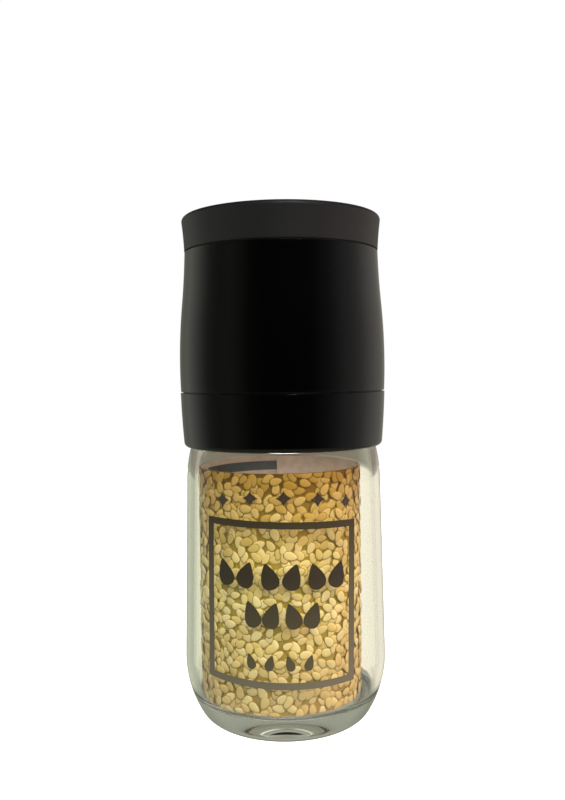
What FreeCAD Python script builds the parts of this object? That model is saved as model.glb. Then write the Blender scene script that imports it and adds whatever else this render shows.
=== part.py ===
import FreeCAD, Part
import math
import os

import Sketcher

# Sesame mill: a glass jar with a twist head. The jar stands on the ground plane, its axis is +Z,
# its printed front faces -Y. Lengths are in millimetres, angles in degrees.
# Each size is written once here. What fits another piece is worked out from these values.
SIZES = {
    # Glass jar
    "jar_height": 88.6,
    "jar_belly_radius": 28.4,
    "jar_belly_level": 17.85,
    "jar_heel_arc": 5.53,
    "jar_side_angle": 30.5,
    "jar_wall": 2.0,
    "jar_taper": 1.05,
    "jar_neck_height": 9.7,
    "jar_shoulder_drop": 11.7,
    "jar_fold_drop": 2.0,
    "jar_fold_inset": 1.35,
    "jar_fold_arc": 42.0,
    "jar_ledge_width": 0.4,
    "jar_ledge_arc": 1.9,
    "jar_neck_inset": 3.15,
    "jar_neck_wall": 2.2,
    "jar_rim_round": 0.7,
    "jar_floor": 7.4,
    "jar_inner_heel_arc": 3.0,
    "jar_inner_shoulder_arc": 8.0,
    "jar_inner_neck_rise": 1.2,
    "foot_radius": 18.4,
    "foot_hollow": 2.2,
    # Screw thread between jar and collar
    "thread_pitch": 4.0,
    "thread_turns": 1.1,
    "thread_depth": 1.1,
    "thread_root_width": 1.6,
    "thread_crest_width": 0.8,
    "thread_start": 2.3,
    "thread_crest_clearance": 0.6,
    "thread_root_clearance": 0.5,
    # Rolled card inside the jar
    "card_gap": 3.9,
    "card_shift": 1.2,
    "card_thickness": 0.4,
    "card_top_gap": 7.9,
    "card_roll_step": 4.0,
    "card_seam_angle": 70.5,
    "card_free_angle": 32.0,
    "card_lap_angle": 22.0,
    "card_rest": 0.05,
    # Jar gasket
    "gasket_thickness": 1.4,
    "gasket_inner_lap": 0.4,
    "gasket_edge_gap": 0.7,
    # Collar
    "collar_lap": 0.3,
    "collar_wall": 2.87,
    "collar_taper": 0.79,
    "collar_corner": 1.4,
    "collar_lead_in_width": 0.45,
    "collar_lead_in_height": 1.5,
    "collar_side_arc": 250.0,
    "web_thickness": 1.68,
    "ledge_width": 4.0,
    "sleeve_inset": 3.9,
    "sleeve_wall": 2.0,
    "sleeve_height": 8.5,
    # Slip ring and the seam that it keeps open
    "seam_gap": 0.3,
    "slip_ring_depth": 0.9,
    "slip_ring_width": 4.3,
    "slip_ring_inset": 2.0,
    "slip_ring_clearance": 0.1,
    # Sleeve clip
    "clip_thickness": 1.2,
    "clip_groove_depth": 0.8,
    "clip_reach": 1.2,
    "clip_opening_angle": 24.0,
    "clip_play": 0.35,
    # Shaft bridge
    "bridge_ring_thickness": 2.0,
    "bridge_arm_width": 4.4,
    "bridge_arm_thickness": 3.2,
    "bridge_arms": 3,
    "bridge_hub_radius": 7.0,
    "bridge_hub_height": 4.4,
    "bridge_screw_radius": 1.25,
    "bridge_screw_head_radius": 1.9,
    "bridge_screw_head_height": 1.5,
    "bridge_screw_angle": 30.0,
    # Drive shaft
    "shaft_side": 6.0,
    "shaft_flange_radius": 5.5,
    "shaft_flange_thickness": 1.4,
    "shaft_thread_radius": 3.0,
    "shaft_thread_length": 9.4,
    "shaft_thread_chamfer": 0.5,
    "shaft_groove_radius": 2.5,
    "shaft_clip_radius": 5.4,
    "shaft_clip_thickness": 0.8,
    "shaft_clip_opening": 3.6,
    # Spring and its seat
    "spring_wire_radius": 0.45,
    "spring_radius": 5.1,
    "spring_turns": 5,
    "spring_seat_radius": 6.6,
    "spring_seat_thickness": 0.8,
    "washer_clearance": 0.1,
    # Barrel
    "barrel_height": 38.57,
    "barrel_swell": 0.07,
    "barrel_belly_height": 7.6,
    "barrel_belly_arc": 170.0,
    "barrel_bend_height": 24.1,
    "barrel_waist_depth": 1.72,
    "barrel_waist_arc": 218.0,
    "barrel_wall": 1.8,
    "barrel_edge_round": 0.3,
    "barrel_lip_height": 4.6,
    "barrel_lip_wall": 2.15,
    "deck_thickness": 1.7,
    "deck_opening_gap": 3.85,
    # Head core
    "running_clearance": 0.06,
    "core_flange_height": 4.2,
    "core_tube_wall": 1.6,
    "core_tube_gap": 0.6,
    "core_tube_height": 11.5,
    "core_boss_wall": 3.95,
    "burr_seat_drop": 20.0,
    "burr_seat_thickness": 1.8,
    "burr_seat_width": 1.6,
    # Burrs
    "burr_height": 10.0,
    "burr_radius": 12.0,
    "burr_half_angle": 20.0,
    "burr_gap": 0.45,
    "outer_burr_wall": 4.5,
    "outer_burr_inlet_height": 4.0,
    "outer_burr_inlet_flare": 2.73,
    "burr_fit": 0.04,
    "outer_burr_grooves": 24,
    "outer_burr_groove_width": 1.3,
    "outer_burr_groove_depth": 0.9,
    "inner_burr_grooves": 12,
    "inner_burr_groove_width": 1.5,
    "inner_burr_groove_deep": 1.7,
    "inner_burr_groove_shallow": 0.5,
    "inner_burr_groove_slant": 24.0,
    "inner_burr_bore": 6.2,
    # Burr retaining ring and its screws
    "burr_ring_thickness": 1.5,
    "burr_ring_overlap": 3.2,
    "burr_screws": 3,
    "burr_screw_radius": 1.1,
    "burr_screw_length": 6.0,
    "burr_screw_head_radius": 1.9,
    "burr_screw_head_height": 1.4,
    "burr_screw_angle": 30.0,
    "screw_socket_radius": 1.05,
    "screw_socket_depth": 0.85,
    # Burr hub and thrust washer
    "hub_fit": 0.05,
    "hub_flange_radius": 7.4,
    "hub_flange_thickness": 1.4,
    "hub_rise": 0.4,
    "thrust_washer_radius": 6.6,
    "thrust_washer_thickness": 0.8,
    # Adjusting dial
    "dial_radius": 9.5,
    "dial_height": 5.4,
    "dial_round": 0.8,
    "dial_flutes": 12,
    "dial_flute_radius": 1.3,
    "dial_flute_depth": 0.75,
    "insert_radius": 4.6,
    "insert_height": 4.2,
    # Spout on the deck
    "spout_wall": 1.7,
    "spout_rise": 5.2,
    "spout_drop": 4.6,
    "spout_flange_width": 3.0,
    "spout_flange_thickness": 1.5,
    "spout_tip_round": 0.5,
    # Cap
    "cap_height": 9.45,
    "cap_foot_step": 0.05,
    "cap_flare": 0.67,
    "cap_flare_arc": 95.0,
    "cap_widest_height": 8.3,
    "cap_top_inset": 1.3,
    "cap_dish_depth": 0.35,
    "cap_wall": 1.7,
    "cap_roof": 1.8,
    "cap_lip_width": 1.6,
    "cap_lip_inset": 0.5,
    # Cap liner and seal
    "liner_clearance": 0.08,
    "liner_wall": 1.6,
    "liner_roof": 1.2,
    "liner_lift": 0.6,
    "seal_inset": 0.1,
}

ROUND_TURN = 360.0
CONVEX = 1
HOLLOW = -1

# Half the diagonal of a square, for a side of 1
HALF_DIAGONAL = math.sqrt(0.5)

# How far the outline of a cut runs past the solid that it cuts
OVERRUN = 2.0

doc = FreeCAD.newDocument("sesame_mill")


class Size:
    """A size that follows the sheet: its value now, and the formula that keeps it."""

    def __init__(self, value, formula):
        self.value = float(value)
        self.formula = formula

    def __add__(self, other):
        other = as_size(other)
        return Size(self.value + other.value, f"({self.formula} + {other.formula})")

    def __sub__(self, other):
        other = as_size(other)
        return Size(self.value - other.value, f"({self.formula} - {other.formula})")

    def __mul__(self, other):
        other = as_size(other)
        return Size(self.value * other.value, f"({self.formula} * {other.formula})")

    def __truediv__(self, other):
        other = as_size(other)
        return Size(self.value / other.value, f"({self.formula} / {other.formula})")

    def __neg__(self):
        return Size(-self.value, f"(0 - {self.formula})")


class Sheet:
    """The spreadsheet of driving sizes. An attribute gives the Size of that name."""

    def __init__(self, table):
        self.values = table
        self.page = doc.addObject("Spreadsheet::Sheet", "Sizes")
        for row, (alias, value) in enumerate(table.items(), start=1):
            self.page.set(f"A{row}", alias)
            self.page.set(f"B{row}", str(value))
            self.page.setAlias(f"B{row}", alias)

    def __getattr__(self, alias):
        return Size(self.values[alias], f"Sizes.{alias}")


def as_size(thing):
    """A plain number as a Size."""
    if isinstance(thing, Size):
        return thing
    return Size(thing, repr(float(thing)))


def root(size):
    """Square root of a Size."""
    return Size(math.sqrt(size.value), f"sqrt({size.formula})")


def sine(angle):
    """Sine of a Size in degrees."""
    return Size(math.sin(math.radians(angle.value)), f"sin({angle.formula} * 1 deg)")


def cosine(angle):
    """Cosine of a Size in degrees."""
    return Size(math.cos(math.radians(angle.value)), f"cos({angle.formula} * 1 deg)")


def tangent(angle):
    """Tangent of a Size in degrees."""
    return sine(angle) / cosine(angle)


class Bow:
    """An arc of an outline, to the point (x, y). CONVEX bulges out of the solid, HOLLOW into it."""

    def __init__(self, x, y, radius, turn=CONVEX):
        self.point = (x, y)
        self.radius = as_size(radius)
        self.turn = turn


def arc_between(start, end, bow):
    """The arc of a circle for a bow, and whether its own direction runs from start to end."""
    along = end - start
    half = along.Length / 2
    rise = math.sqrt(bow.radius.value ** 2 - half ** 2)
    left = FreeCAD.Vector(-along.y, along.x, 0).normalize()
    centre = (start + end) * 0.5 + left * (rise * bow.turn)
    first, last = (start, end) if bow.turn == CONVEX else (end, start)
    first_angle = math.atan2(first.y - centre.y, first.x - centre.x)
    last_angle = math.atan2(last.y - centre.y, last.x - centre.x)
    circle = Part.Circle(centre, FreeCAD.Vector(0, 0, 1), bow.radius.value)
    return Part.ArcOfCircle(circle, first_angle, last_angle), bow.turn == CONVEX


def new_sketch(body, role, name):
    """An empty sketch on one of a body's own origin planes."""
    sketch = body.newObject("Sketcher::SketchObject", name)
    plane = next(item for item in body.Origin.OriginFeatures if item.Role == role)
    sketch.AttachmentSupport = [(plane, "")]
    sketch.MapMode = "FlatFace"
    return sketch


def bind(sketch, kind, geometry, corner, size):
    """Fix one coordinate of a corner, or one radius, by a formula on the sheet."""
    if kind == "Radius":
        index = sketch.addConstraint(Sketcher.Constraint(kind, geometry, size.value))
    else:
        constraint = Sketcher.Constraint(kind, -1, 1, geometry, corner, size.value)
        index = sketch.addConstraint(constraint)
    sketch.setExpression(f"Constraints[{index}]", size.formula)


def draw(body, role, name, *steps):
    """A sketch of one closed outline through points and bows, counter-clockwise round the solid."""
    sketch = new_sketch(body, role, name)
    corners = [step.point if isinstance(step, Bow) else step for step in steps]
    corners = [(as_size(x), as_size(y)) for x, y in corners]
    spots = [FreeCAD.Vector(x.value, y.value, 0) for x, y in corners]
    ends = []
    for number, step in enumerate(steps):
        start = spots[number - 1]
        if isinstance(step, Bow):
            curve, forward = arc_between(start, spots[number], step)
            index = sketch.addGeometry(curve, False)
            bind(sketch, "Radius", index, 0, step.radius)
            ends.append((index, 1, 2) if forward else (index, 2, 1))
        else:
            index = sketch.addGeometry(Part.LineSegment(start, spots[number]), False)
            ends.append((index, 1, 2))
    for number, (index, _, finish) in enumerate(ends):
        following, begin, _ = ends[(number + 1) % len(ends)]
        sketch.addConstraint(Sketcher.Constraint("Coincident", index, finish, following, begin))
        bind(sketch, "DistanceX", index, finish, corners[number][0])
        bind(sketch, "DistanceY", index, finish, corners[number][1])
    return sketch


def draw_circle(body, role, name, x, y, radius):
    """A sketch of one circle."""
    sketch = new_sketch(body, role, name)
    x, y, radius = as_size(x), as_size(y), as_size(radius)
    centre = FreeCAD.Vector(x.value, y.value, 0)
    circle = Part.Circle(centre, FreeCAD.Vector(0, 0, 1), radius.value)
    index = sketch.addGeometry(circle, False)
    bind(sketch, "Radius", index, 0, radius)
    bind(sketch, "DistanceX", index, 3, x)
    bind(sketch, "DistanceY", index, 3, y)
    return sketch


def box_outline(left, bottom, right, top):
    """The four corners of a rectangle, counter-clockwise."""
    return [(left, bottom), (right, bottom), (right, top), (left, top)]


def new_body(name, level=None):
    """An empty body with its own label, standing at a level."""
    body = doc.addObject("PartDesign::Body", name)
    body.Label = name
    if level is not None:
        body.setExpression("Placement.Base.z", as_size(level).formula)
    return body


def turn_feature(body, kind, sketch, name):
    """A full turn of a sketch about the upright axis: Revolution adds, Groove cuts."""
    feature = body.newObject(f"PartDesign::{kind}", name)
    feature.Profile = sketch
    feature.ReferenceAxis = (sketch, ["V_Axis"])
    feature.Angle = ROUND_TURN
    sketch.Visibility = False
    return feature


def turned(name, level, *steps):
    """A body turned from one outline of radius and height."""
    body = new_body(name, level)
    turn_feature(body, "Revolution", draw(body, "XZ_Plane", f"{name}_outline", *steps), f"{name}_turned")
    return body


def ring(name, level, inner, outer, thickness):
    """A flat ring that lies on a level."""
    return turned(name, level, *box_outline(inner, 0, outer, thickness))


def push_feature(body, kind, sketch, name, length, both_ways=False, reverse=False):
    """A straight push of a sketch: Pad adds, Pocket cuts."""
    feature = body.newObject(f"PartDesign::{kind}", name)
    feature.Profile = sketch
    feature.SideType = "Symmetric" if both_ways else "One side"
    feature.Reversed = reverse
    feature.setExpression("Length", as_size(length).formula)
    sketch.Visibility = False
    return feature


def repeat_round(body, feature, count, name):
    """Repeat a feature at even steps round the upright axis."""
    pattern = body.newObject("PartDesign::PolarPattern", name)
    pattern.Originals = [feature]
    axis = next(item for item in body.Origin.OriginFeatures if item.Role == "Z_Axis")
    pattern.Axis = (axis, [""])
    pattern.Angle = ROUND_TURN
    pattern.setExpression("Occurrences", count.formula)
    body.Tip = pattern
    return pattern


def wind(body, sketch, name, pitch, height):
    """Wind a sketch up the axis as a right-hand helix that adds to the body."""
    coil = body.newObject("PartDesign::AdditiveHelix", name)
    coil.Profile = sketch
    coil.ReferenceAxis = (sketch, ["V_Axis"])
    coil.Mode = "pitch-height-angle"
    coil.setExpression("Pitch", pitch.formula)
    coil.setExpression("Height", height.formula)
    sketch.Visibility = False
    return coil


def cylinder(name, radius, height, x, y, z):
    """An upright cylinder with its base centre at a point."""
    solid = doc.addObject("Part::Cylinder", name)
    solid.setExpression("Radius", as_size(radius).formula)
    solid.setExpression("Height", as_size(height).formula)
    for axis, size in (("x", x), ("y", y), ("z", z)):
        solid.setExpression(f"Placement.Base.{axis}", as_size(size).formula)
    return solid


def hex_recess(name, radius, depth, x, y, z):
    """An upright hexagonal prism with its base centre at a point."""
    solid = doc.addObject("Part::Prism", name)
    solid.Polygon = 6
    solid.setExpression("Circumradius", as_size(radius).formula)
    solid.setExpression("Height", as_size(depth).formula)
    for axis, size in (("x", x), ("y", y), ("z", z)):
        solid.setExpression(f"Placement.Base.{axis}", as_size(size).formula)
    return solid


def screw_places(count, circle_radius, first_angle):
    """Centres of screws at even steps round the axis."""
    places = []
    for number in range(count):
        angle = first_angle + ROUND_TURN * number / count
        places.append((circle_radius * cosine(angle), circle_radius * sine(angle)))
    return places


def screw_set(name, places, seat, shank_radius, shank_length, head_radius, head_height):
    """Socket screws that stand head up on a seat, all in one node."""
    solids = []
    sockets = []
    for number, (x, y) in enumerate(places):
        mark = f"{name}_{number}"
        solids.append(cylinder(f"{mark}_shank", shank_radius, shank_length, x, y, seat - shank_length))
        solids.append(cylinder(f"{mark}_head", head_radius, head_height, x, y, seat))
        socket_floor = seat + head_height - s.screw_socket_depth
        sockets.append(hex_recess(f"{mark}_socket", s.screw_socket_radius, head_height, x, y, socket_floor))
    whole = doc.addObject("Part::MultiFuse", f"{name}_whole")
    whole.Shapes = solids
    holes = doc.addObject("Part::MultiFuse", f"{name}_sockets")
    holes.Shapes = sockets
    screws = doc.addObject("Part::Cut", name)
    screws.Base = whole
    screws.Tool = holes
    screws.Label = name
    return screws


def drill(body, places, name, radius, depth, level, reverse=False):
    """Round blind or through holes from a level of a body: down, or up where reversed."""
    for number, (x, y) in enumerate(places):
        sketch = draw_circle(body, "XY_Plane", f"{name}_circle_{number}", x, y, radius)
        sketch.setExpression("AttachmentOffset.Base.z", as_size(level).formula)
        push_feature(body, "Pocket", sketch, f"{name}_{number}", depth, reverse=reverse)


s = Sheet(SIZES)

# Jar radii and levels
ledge_level = s.jar_height - s.jar_neck_height
shoulder_level = ledge_level - s.jar_shoulder_drop
fold_level = ledge_level - s.jar_fold_drop
side_arc = s.jar_heel_arc + (s.jar_belly_level - s.jar_heel_arc) / sine(s.jar_side_angle)
side_centre = s.jar_belly_radius - side_arc
side_drop = side_arc - s.jar_heel_arc
contact_radius = s.jar_belly_radius - s.jar_heel_arc - side_drop * (as_size(1) - cosine(s.jar_side_angle))
jar_shoulder_radius = s.jar_belly_radius - s.jar_taper
neck_radius = jar_shoulder_radius - s.jar_neck_inset
neck_bore = neck_radius - s.jar_neck_wall
jar_inner_radius = s.jar_belly_radius - s.jar_wall
fold_radius = jar_shoulder_radius - s.jar_fold_inset
inner_side_arc = side_arc - s.jar_wall
heel_reach = inner_side_arc - s.jar_inner_heel_arc
heel_drop = s.jar_belly_level - s.jar_floor - s.jar_inner_heel_arc
heel_inset = root(heel_reach * heel_reach - heel_drop * heel_drop)
inner_floor_radius = side_centre + heel_inset
heel_share = inner_side_arc / heel_reach

# Collar radii and levels
collar_bore = neck_radius + s.thread_depth + s.thread_crest_clearance
collar_radius = collar_bore + s.collar_wall
collar_foot_radius = collar_radius - s.collar_taper
collar_bottom = fold_level - s.collar_lap
web_bottom = s.jar_height + s.gasket_thickness
collar_top = web_bottom + s.web_thickness
sleeve_radius = collar_bore - s.sleeve_inset
sleeve_bore = sleeve_radius - s.sleeve_wall
web_opening = sleeve_bore - s.ledge_width
slip_outer = collar_bore + s.slip_ring_inset
slip_inner = slip_outer - s.slip_ring_width
bridge_screw_circle = sleeve_bore - s.ledge_width / 2
bridge_places = screw_places(SIZES["bridge_arms"], bridge_screw_circle, s.bridge_screw_angle)

# Barrel and core radii and levels
barrel_bottom = collar_top + s.seam_gap
barrel_top = barrel_bottom + s.barrel_height
barrel_belly_radius = collar_radius + s.barrel_swell
barrel_waist_radius = barrel_belly_radius - s.barrel_waist_depth
core_bore = sleeve_radius + s.running_clearance
clip_level = barrel_bottom + s.core_flange_height + s.clip_play
clip_groove_radius = sleeve_radius - s.clip_groove_depth
clip_radius = sleeve_radius + s.clip_reach


def belly_drop(height):
    """How far the barrel's belly arc falls inside its widest radius at a height above the seam."""
    away = s.barrel_belly_height - height
    return s.barrel_belly_arc - root(s.barrel_belly_arc * s.barrel_belly_arc - away * away)


barrel_foot_radius = barrel_belly_radius - belly_drop(as_size(0))
barrel_bend_radius = barrel_belly_radius - belly_drop(s.barrel_bend_height)
lip_bore = barrel_foot_radius - s.barrel_lip_wall
core_tube_bore = clip_radius + s.core_tube_gap
core_tube_radius = core_tube_bore + s.core_tube_wall
burr_level = barrel_top - s.burr_seat_drop

# Burr radii and levels
gap_across = s.burr_gap / cosine(s.burr_half_angle)
burr_slope = tangent(s.burr_half_angle)
inner_burr_small = s.burr_radius - s.burr_height * burr_slope
outer_burr_mouth = s.burr_radius + gap_across
outer_burr_throat = outer_burr_mouth - (s.burr_height - s.outer_burr_inlet_height) * burr_slope
outer_burr_inlet = outer_burr_throat + s.outer_burr_inlet_flare
outer_burr_radius = outer_burr_mouth + s.outer_burr_wall
burr_pocket = outer_burr_radius + s.burr_fit
boss_radius = burr_pocket + s.core_boss_wall
burr_top = burr_level + s.burr_height
burr_ring_top = burr_top + s.burr_ring_thickness
burr_screw_circle = burr_pocket + s.core_boss_wall / 2
burr_places = screw_places(SIZES["burr_screws"], burr_screw_circle, s.burr_screw_angle)
washer_level = burr_top + s.hub_rise
dial_level = washer_level + s.thrust_washer_thickness

# Shaft, washer and spring sizes
washer_bore = s.shaft_side * HALF_DIAGONAL + s.washer_clearance
hub_top = collar_top + s.shaft_flange_thickness + s.bridge_hub_height
spring_seat_level = hub_top + s.shaft_clip_thickness
spring_bottom = spring_seat_level + s.spring_seat_thickness
hub_flange_level = burr_level - s.hub_flange_thickness
spring_length = hub_flange_level - spring_bottom
square_top = burr_top - collar_top - s.hub_rise
shaft_height = square_top + s.shaft_thread_length

# Spout and cap radii and levels
spout_radius = barrel_waist_radius - s.barrel_wall - s.deck_opening_gap
spout_bore = spout_radius - s.spout_wall
spout_bottom = barrel_top - s.spout_drop
spout_top = barrel_top + s.spout_rise
cap_foot_radius = barrel_waist_radius + s.cap_foot_step
cap_widest_radius = cap_foot_radius + s.cap_flare
cap_roof_level = s.seam_gap + s.cap_height - s.cap_roof
liner_bore = spout_radius + s.liner_clearance
liner_radius = liner_bore + s.liner_wall


def thread_outline(root_radius, crest_radius, level):
    """A ridge between two radii, wide at its root and narrow at its crest."""
    wide = s.thread_root_width / 2
    narrow = s.thread_crest_width / 2
    if crest_radius.value > root_radius.value:
        return [(root_radius, level - wide), (crest_radius, level - narrow),
                (crest_radius, level + narrow), (root_radius, level + wide)]
    return [(crest_radius, level - narrow), (root_radius, level - wide),
            (root_radius, level + wide), (crest_radius, level + narrow)]


def glass_jar():
    """Blown jar: hollow foot, round heel, straight side, shoulder and threaded neck."""
    side_sine = sine(s.jar_side_angle)
    side_cosine = cosine(s.jar_side_angle)
    foot_arc = (s.foot_radius * s.foot_radius + s.foot_hollow * s.foot_hollow) / (s.foot_hollow * 2)
    rim = s.jar_rim_round
    body = turned(
        "glass_jar", None,
        (0, s.foot_hollow),
        Bow(s.foot_radius, 0, foot_arc, HOLLOW),
        (contact_radius, 0),
        Bow(contact_radius + s.jar_heel_arc * side_cosine,
            s.jar_heel_arc - s.jar_heel_arc * side_sine, s.jar_heel_arc),
        Bow(s.jar_belly_radius, s.jar_belly_level, side_arc),
        (jar_shoulder_radius, shoulder_level),
        Bow(fold_radius, fold_level, s.jar_fold_arc),
        Bow(neck_radius + s.jar_ledge_width, ledge_level, s.jar_ledge_arc),
        (neck_radius, ledge_level),
        (neck_radius, s.jar_height - rim),
        Bow(neck_radius - rim, s.jar_height, rim),
        (neck_bore + rim, s.jar_height),
        Bow(neck_bore, s.jar_height - rim, rim),
        (neck_bore, ledge_level + s.jar_inner_neck_rise),
        Bow(fold_radius - s.jar_wall, fold_level, s.jar_inner_shoulder_arc, HOLLOW),
        Bow(jar_shoulder_radius - s.jar_wall, shoulder_level, s.jar_fold_arc - s.jar_wall, HOLLOW),
        (jar_inner_radius, s.jar_belly_level),
        Bow(side_centre + heel_inset * heel_share, s.jar_belly_level - heel_drop * heel_share,
            inner_side_arc, HOLLOW),
        Bow(inner_floor_radius, s.jar_floor, s.jar_inner_heel_arc, HOLLOW),
        (0, s.jar_floor),
    )
    level = ledge_level + s.thread_start + s.thread_root_width / 2
    ridge = draw(body, "XZ_Plane", "neck_ridge",
                 *thread_outline(neck_radius - s.thread_depth / 4, neck_radius + s.thread_depth, level))
    wind(body, ridge, "neck_thread", s.thread_pitch, s.thread_pitch * s.thread_turns)
    return body


def card_level():
    """Level at which the rolled card, a little off centre, rests on the jar's inner heel."""
    reach = jar_inner_radius - s.card_gap + s.card_shift - inner_floor_radius
    arc = s.jar_inner_heel_arc
    return s.jar_floor + arc - root(arc * arc - reach * reach) + s.card_rest


def printed_insert():
    """Card rolled into a tube inside the jar, its free edge tucked in behind."""
    body = new_body("printed_insert", card_level())
    body.setExpression("Placement.Base.x", (-s.card_shift).formula)
    outer = jar_inner_radius - s.card_gap
    inner = outer - s.card_thickness
    tuck = outer - s.card_roll_step
    seam = s.card_seam_angle
    turn_angle = seam - s.card_free_angle
    last_angle = turn_angle + s.card_free_angle + s.card_lap_angle
    centre_x = s.card_roll_step * cosine(turn_angle)
    centre_y = s.card_roll_step * sine(turn_angle)

    def on_roll(radius, angle):
        return radius * cosine(angle), radius * sine(angle)

    def on_tuck(radius, angle):
        return centre_x + radius * cosine(angle), centre_y + radius * sine(angle)

    far_side = turn_angle - (as_size(ROUND_TURN) - s.card_free_angle) / 2
    sketch = draw(
        body, "XY_Plane", "card_outline",
        on_roll(outer, seam),
        Bow(*on_roll(outer, far_side), outer),
        Bow(*on_roll(outer, turn_angle), outer),
        Bow(*on_tuck(tuck, last_angle), tuck),
        on_tuck(tuck - s.card_thickness, last_angle),
        Bow(*on_roll(inner, turn_angle), tuck - s.card_thickness, HOLLOW),
        Bow(*on_roll(inner, far_side), inner, HOLLOW),
        Bow(*on_roll(inner, seam), inner, HOLLOW),
    )
    push_feature(body, "Pad", sketch, "card_height", ledge_level - s.card_top_gap - card_level())
    return body


def jar_gasket():
    """Silicone ring between the jar's mouth and the collar."""
    return ring("jar_gasket", s.jar_height, neck_bore - s.gasket_inner_lap,
                collar_bore - s.gasket_edge_gap, s.gasket_thickness)


def collar():
    """Threaded collar with a web over the mouth and the sleeve that the head turns on."""
    corner = s.collar_corner
    groove_floor = collar_top - s.slip_ring_depth
    sleeve_top = collar_top + s.sleeve_height
    groove_bottom = clip_level - s.slip_ring_clearance
    groove_top = clip_level + s.clip_thickness + s.slip_ring_clearance
    slip_play = s.slip_ring_clearance
    body = turned(
        "collar", None,
        (collar_bore + s.collar_lead_in_width, collar_bottom),
        (collar_foot_radius - corner, collar_bottom),
        Bow(collar_foot_radius, collar_bottom + corner, corner),
        Bow(collar_radius, collar_top, s.collar_side_arc),
        (slip_outer + slip_play, collar_top),
        (slip_outer + slip_play, groove_floor),
        (slip_inner - slip_play, groove_floor),
        (slip_inner - slip_play, collar_top),
        (sleeve_radius, collar_top),
        (sleeve_radius, groove_bottom),
        (clip_groove_radius, groove_bottom),
        (clip_groove_radius, groove_top),
        (sleeve_radius, groove_top),
        (sleeve_radius, sleeve_top),
        (sleeve_bore, sleeve_top),
        (sleeve_bore, collar_top),
        (web_opening, collar_top),
        (web_opening, web_bottom),
        (collar_bore, web_bottom),
        (collar_bore, collar_bottom + s.collar_lead_in_height),
    )
    level = ledge_level + s.thread_start + s.thread_root_width / 2 - s.thread_pitch / 2
    root_radius = collar_bore + s.thread_depth / 4
    crest_radius = neck_radius + s.thread_root_clearance
    ridge = draw(body, "XZ_Plane", "collar_ridge", *thread_outline(root_radius, crest_radius, level))
    wind(body, ridge, "collar_thread", s.thread_pitch, s.thread_pitch * s.thread_turns)
    drill(body, bridge_places, "bridge_screw_hole", s.bridge_screw_radius, s.web_thickness, collar_top)
    return body


def slip_ring():
    """Smooth ring that keeps the head's foot clear of the collar."""
    return ring("slip_ring", collar_top - s.slip_ring_depth, slip_inner, slip_outer,
                s.slip_ring_depth + s.seam_gap)


def sleeve_clip():
    """Split ring in the sleeve's groove that holds the head down."""
    body = ring("sleeve_clip", clip_level, clip_groove_radius, clip_radius, s.clip_thickness)
    reach = clip_radius + OVERRUN
    half_gap = reach * tangent(s.clip_opening_angle / 2)
    gap = draw(body, "XY_Plane", "clip_gap_outline", (0, 0), (reach, -half_gap), (reach, half_gap))
    push_feature(body, "Pocket", gap, "clip_gap", s.clip_thickness, reverse=True)
    return body


def shaft_bridge():
    """Ring, arms and hub that carry the shaft over the collar's opening."""
    body = ring("shaft_bridge", collar_top, web_opening, sleeve_bore, s.bridge_ring_thickness)
    half = s.bridge_arm_width / 2
    arm = draw(body, "XY_Plane", "arm_outline",
               *box_outline(-half, s.bridge_hub_radius / 2, half, web_opening + s.ledge_width / 4))
    arm_pad = push_feature(body, "Pad", arm, "bridge_arm", s.bridge_arm_thickness)
    repeat_round(body, arm_pad, s.bridge_arms, "bridge_arm_round")
    foot = s.shaft_flange_thickness
    hub = draw(body, "XZ_Plane", "hub_outline",
               *box_outline(0, foot, s.bridge_hub_radius, foot + s.bridge_hub_height))
    turn_feature(body, "Revolution", hub, "bridge_hub")
    hollow = draw(body, "XZ_Plane", "flange_room",
                  *box_outline(0, -OVERRUN, s.shaft_flange_radius + s.hub_fit, foot))
    turn_feature(body, "Groove", hollow, "bridge_flange_room")
    side = s.shaft_side / 2 + s.hub_fit
    square = draw(body, "XY_Plane", "square_hole_outline", *box_outline(-side, -side, side, side))
    push_feature(body, "Pocket", square, "bridge_square_hole", foot + s.bridge_hub_height, reverse=True)
    drill(body, bridge_places, "bridge_clear_hole", s.bridge_screw_radius, s.bridge_ring_thickness,
          s.bridge_ring_thickness)
    return body


def bridge_screws():
    """Screws that hold the bridge on the collar's ledge."""
    return screw_set("bridge_screws", bridge_places, collar_top + s.bridge_ring_thickness,
                     s.bridge_screw_radius, s.web_thickness + s.bridge_ring_thickness,
                     s.bridge_screw_head_radius, s.bridge_screw_head_height)


def drive_shaft():
    """Square shaft with a flange below, a clip groove and a threaded top."""
    chamfer = s.shaft_thread_chamfer
    body = turned(
        "drive_shaft", collar_top,
        (0, 0),
        (s.shaft_flange_radius, 0),
        (s.shaft_flange_radius, s.shaft_flange_thickness),
        (s.shaft_thread_radius, s.shaft_flange_thickness),
        (s.shaft_thread_radius, shaft_height - chamfer),
        (s.shaft_thread_radius - chamfer, shaft_height),
        (0, shaft_height),
    )
    half = s.shaft_side / 2
    square = draw(body, "XY_Plane", "square_outline", *box_outline(-half, -half, half, half))
    push_feature(body, "Pad", square, "square_stem", square_top)
    groove_level = hub_top - collar_top
    groove = draw(body, "XZ_Plane", "clip_groove_outline",
                  *box_outline(s.shaft_groove_radius, groove_level,
                               s.shaft_side, groove_level + s.shaft_clip_thickness))
    turn_feature(body, "Groove", groove, "clip_groove")
    return body


def shaft_clip():
    """Open clip in the shaft's groove, on top of the bridge."""
    body = ring("shaft_clip", hub_top, s.shaft_groove_radius, s.shaft_clip_radius, s.shaft_clip_thickness)
    half = s.shaft_clip_opening / 2
    gap = draw(body, "XY_Plane", "shaft_clip_gap_outline",
               *box_outline(0, -half, s.shaft_clip_radius + OVERRUN, half))
    push_feature(body, "Pocket", gap, "shaft_clip_gap", s.shaft_clip_thickness, reverse=True)
    return body


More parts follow.
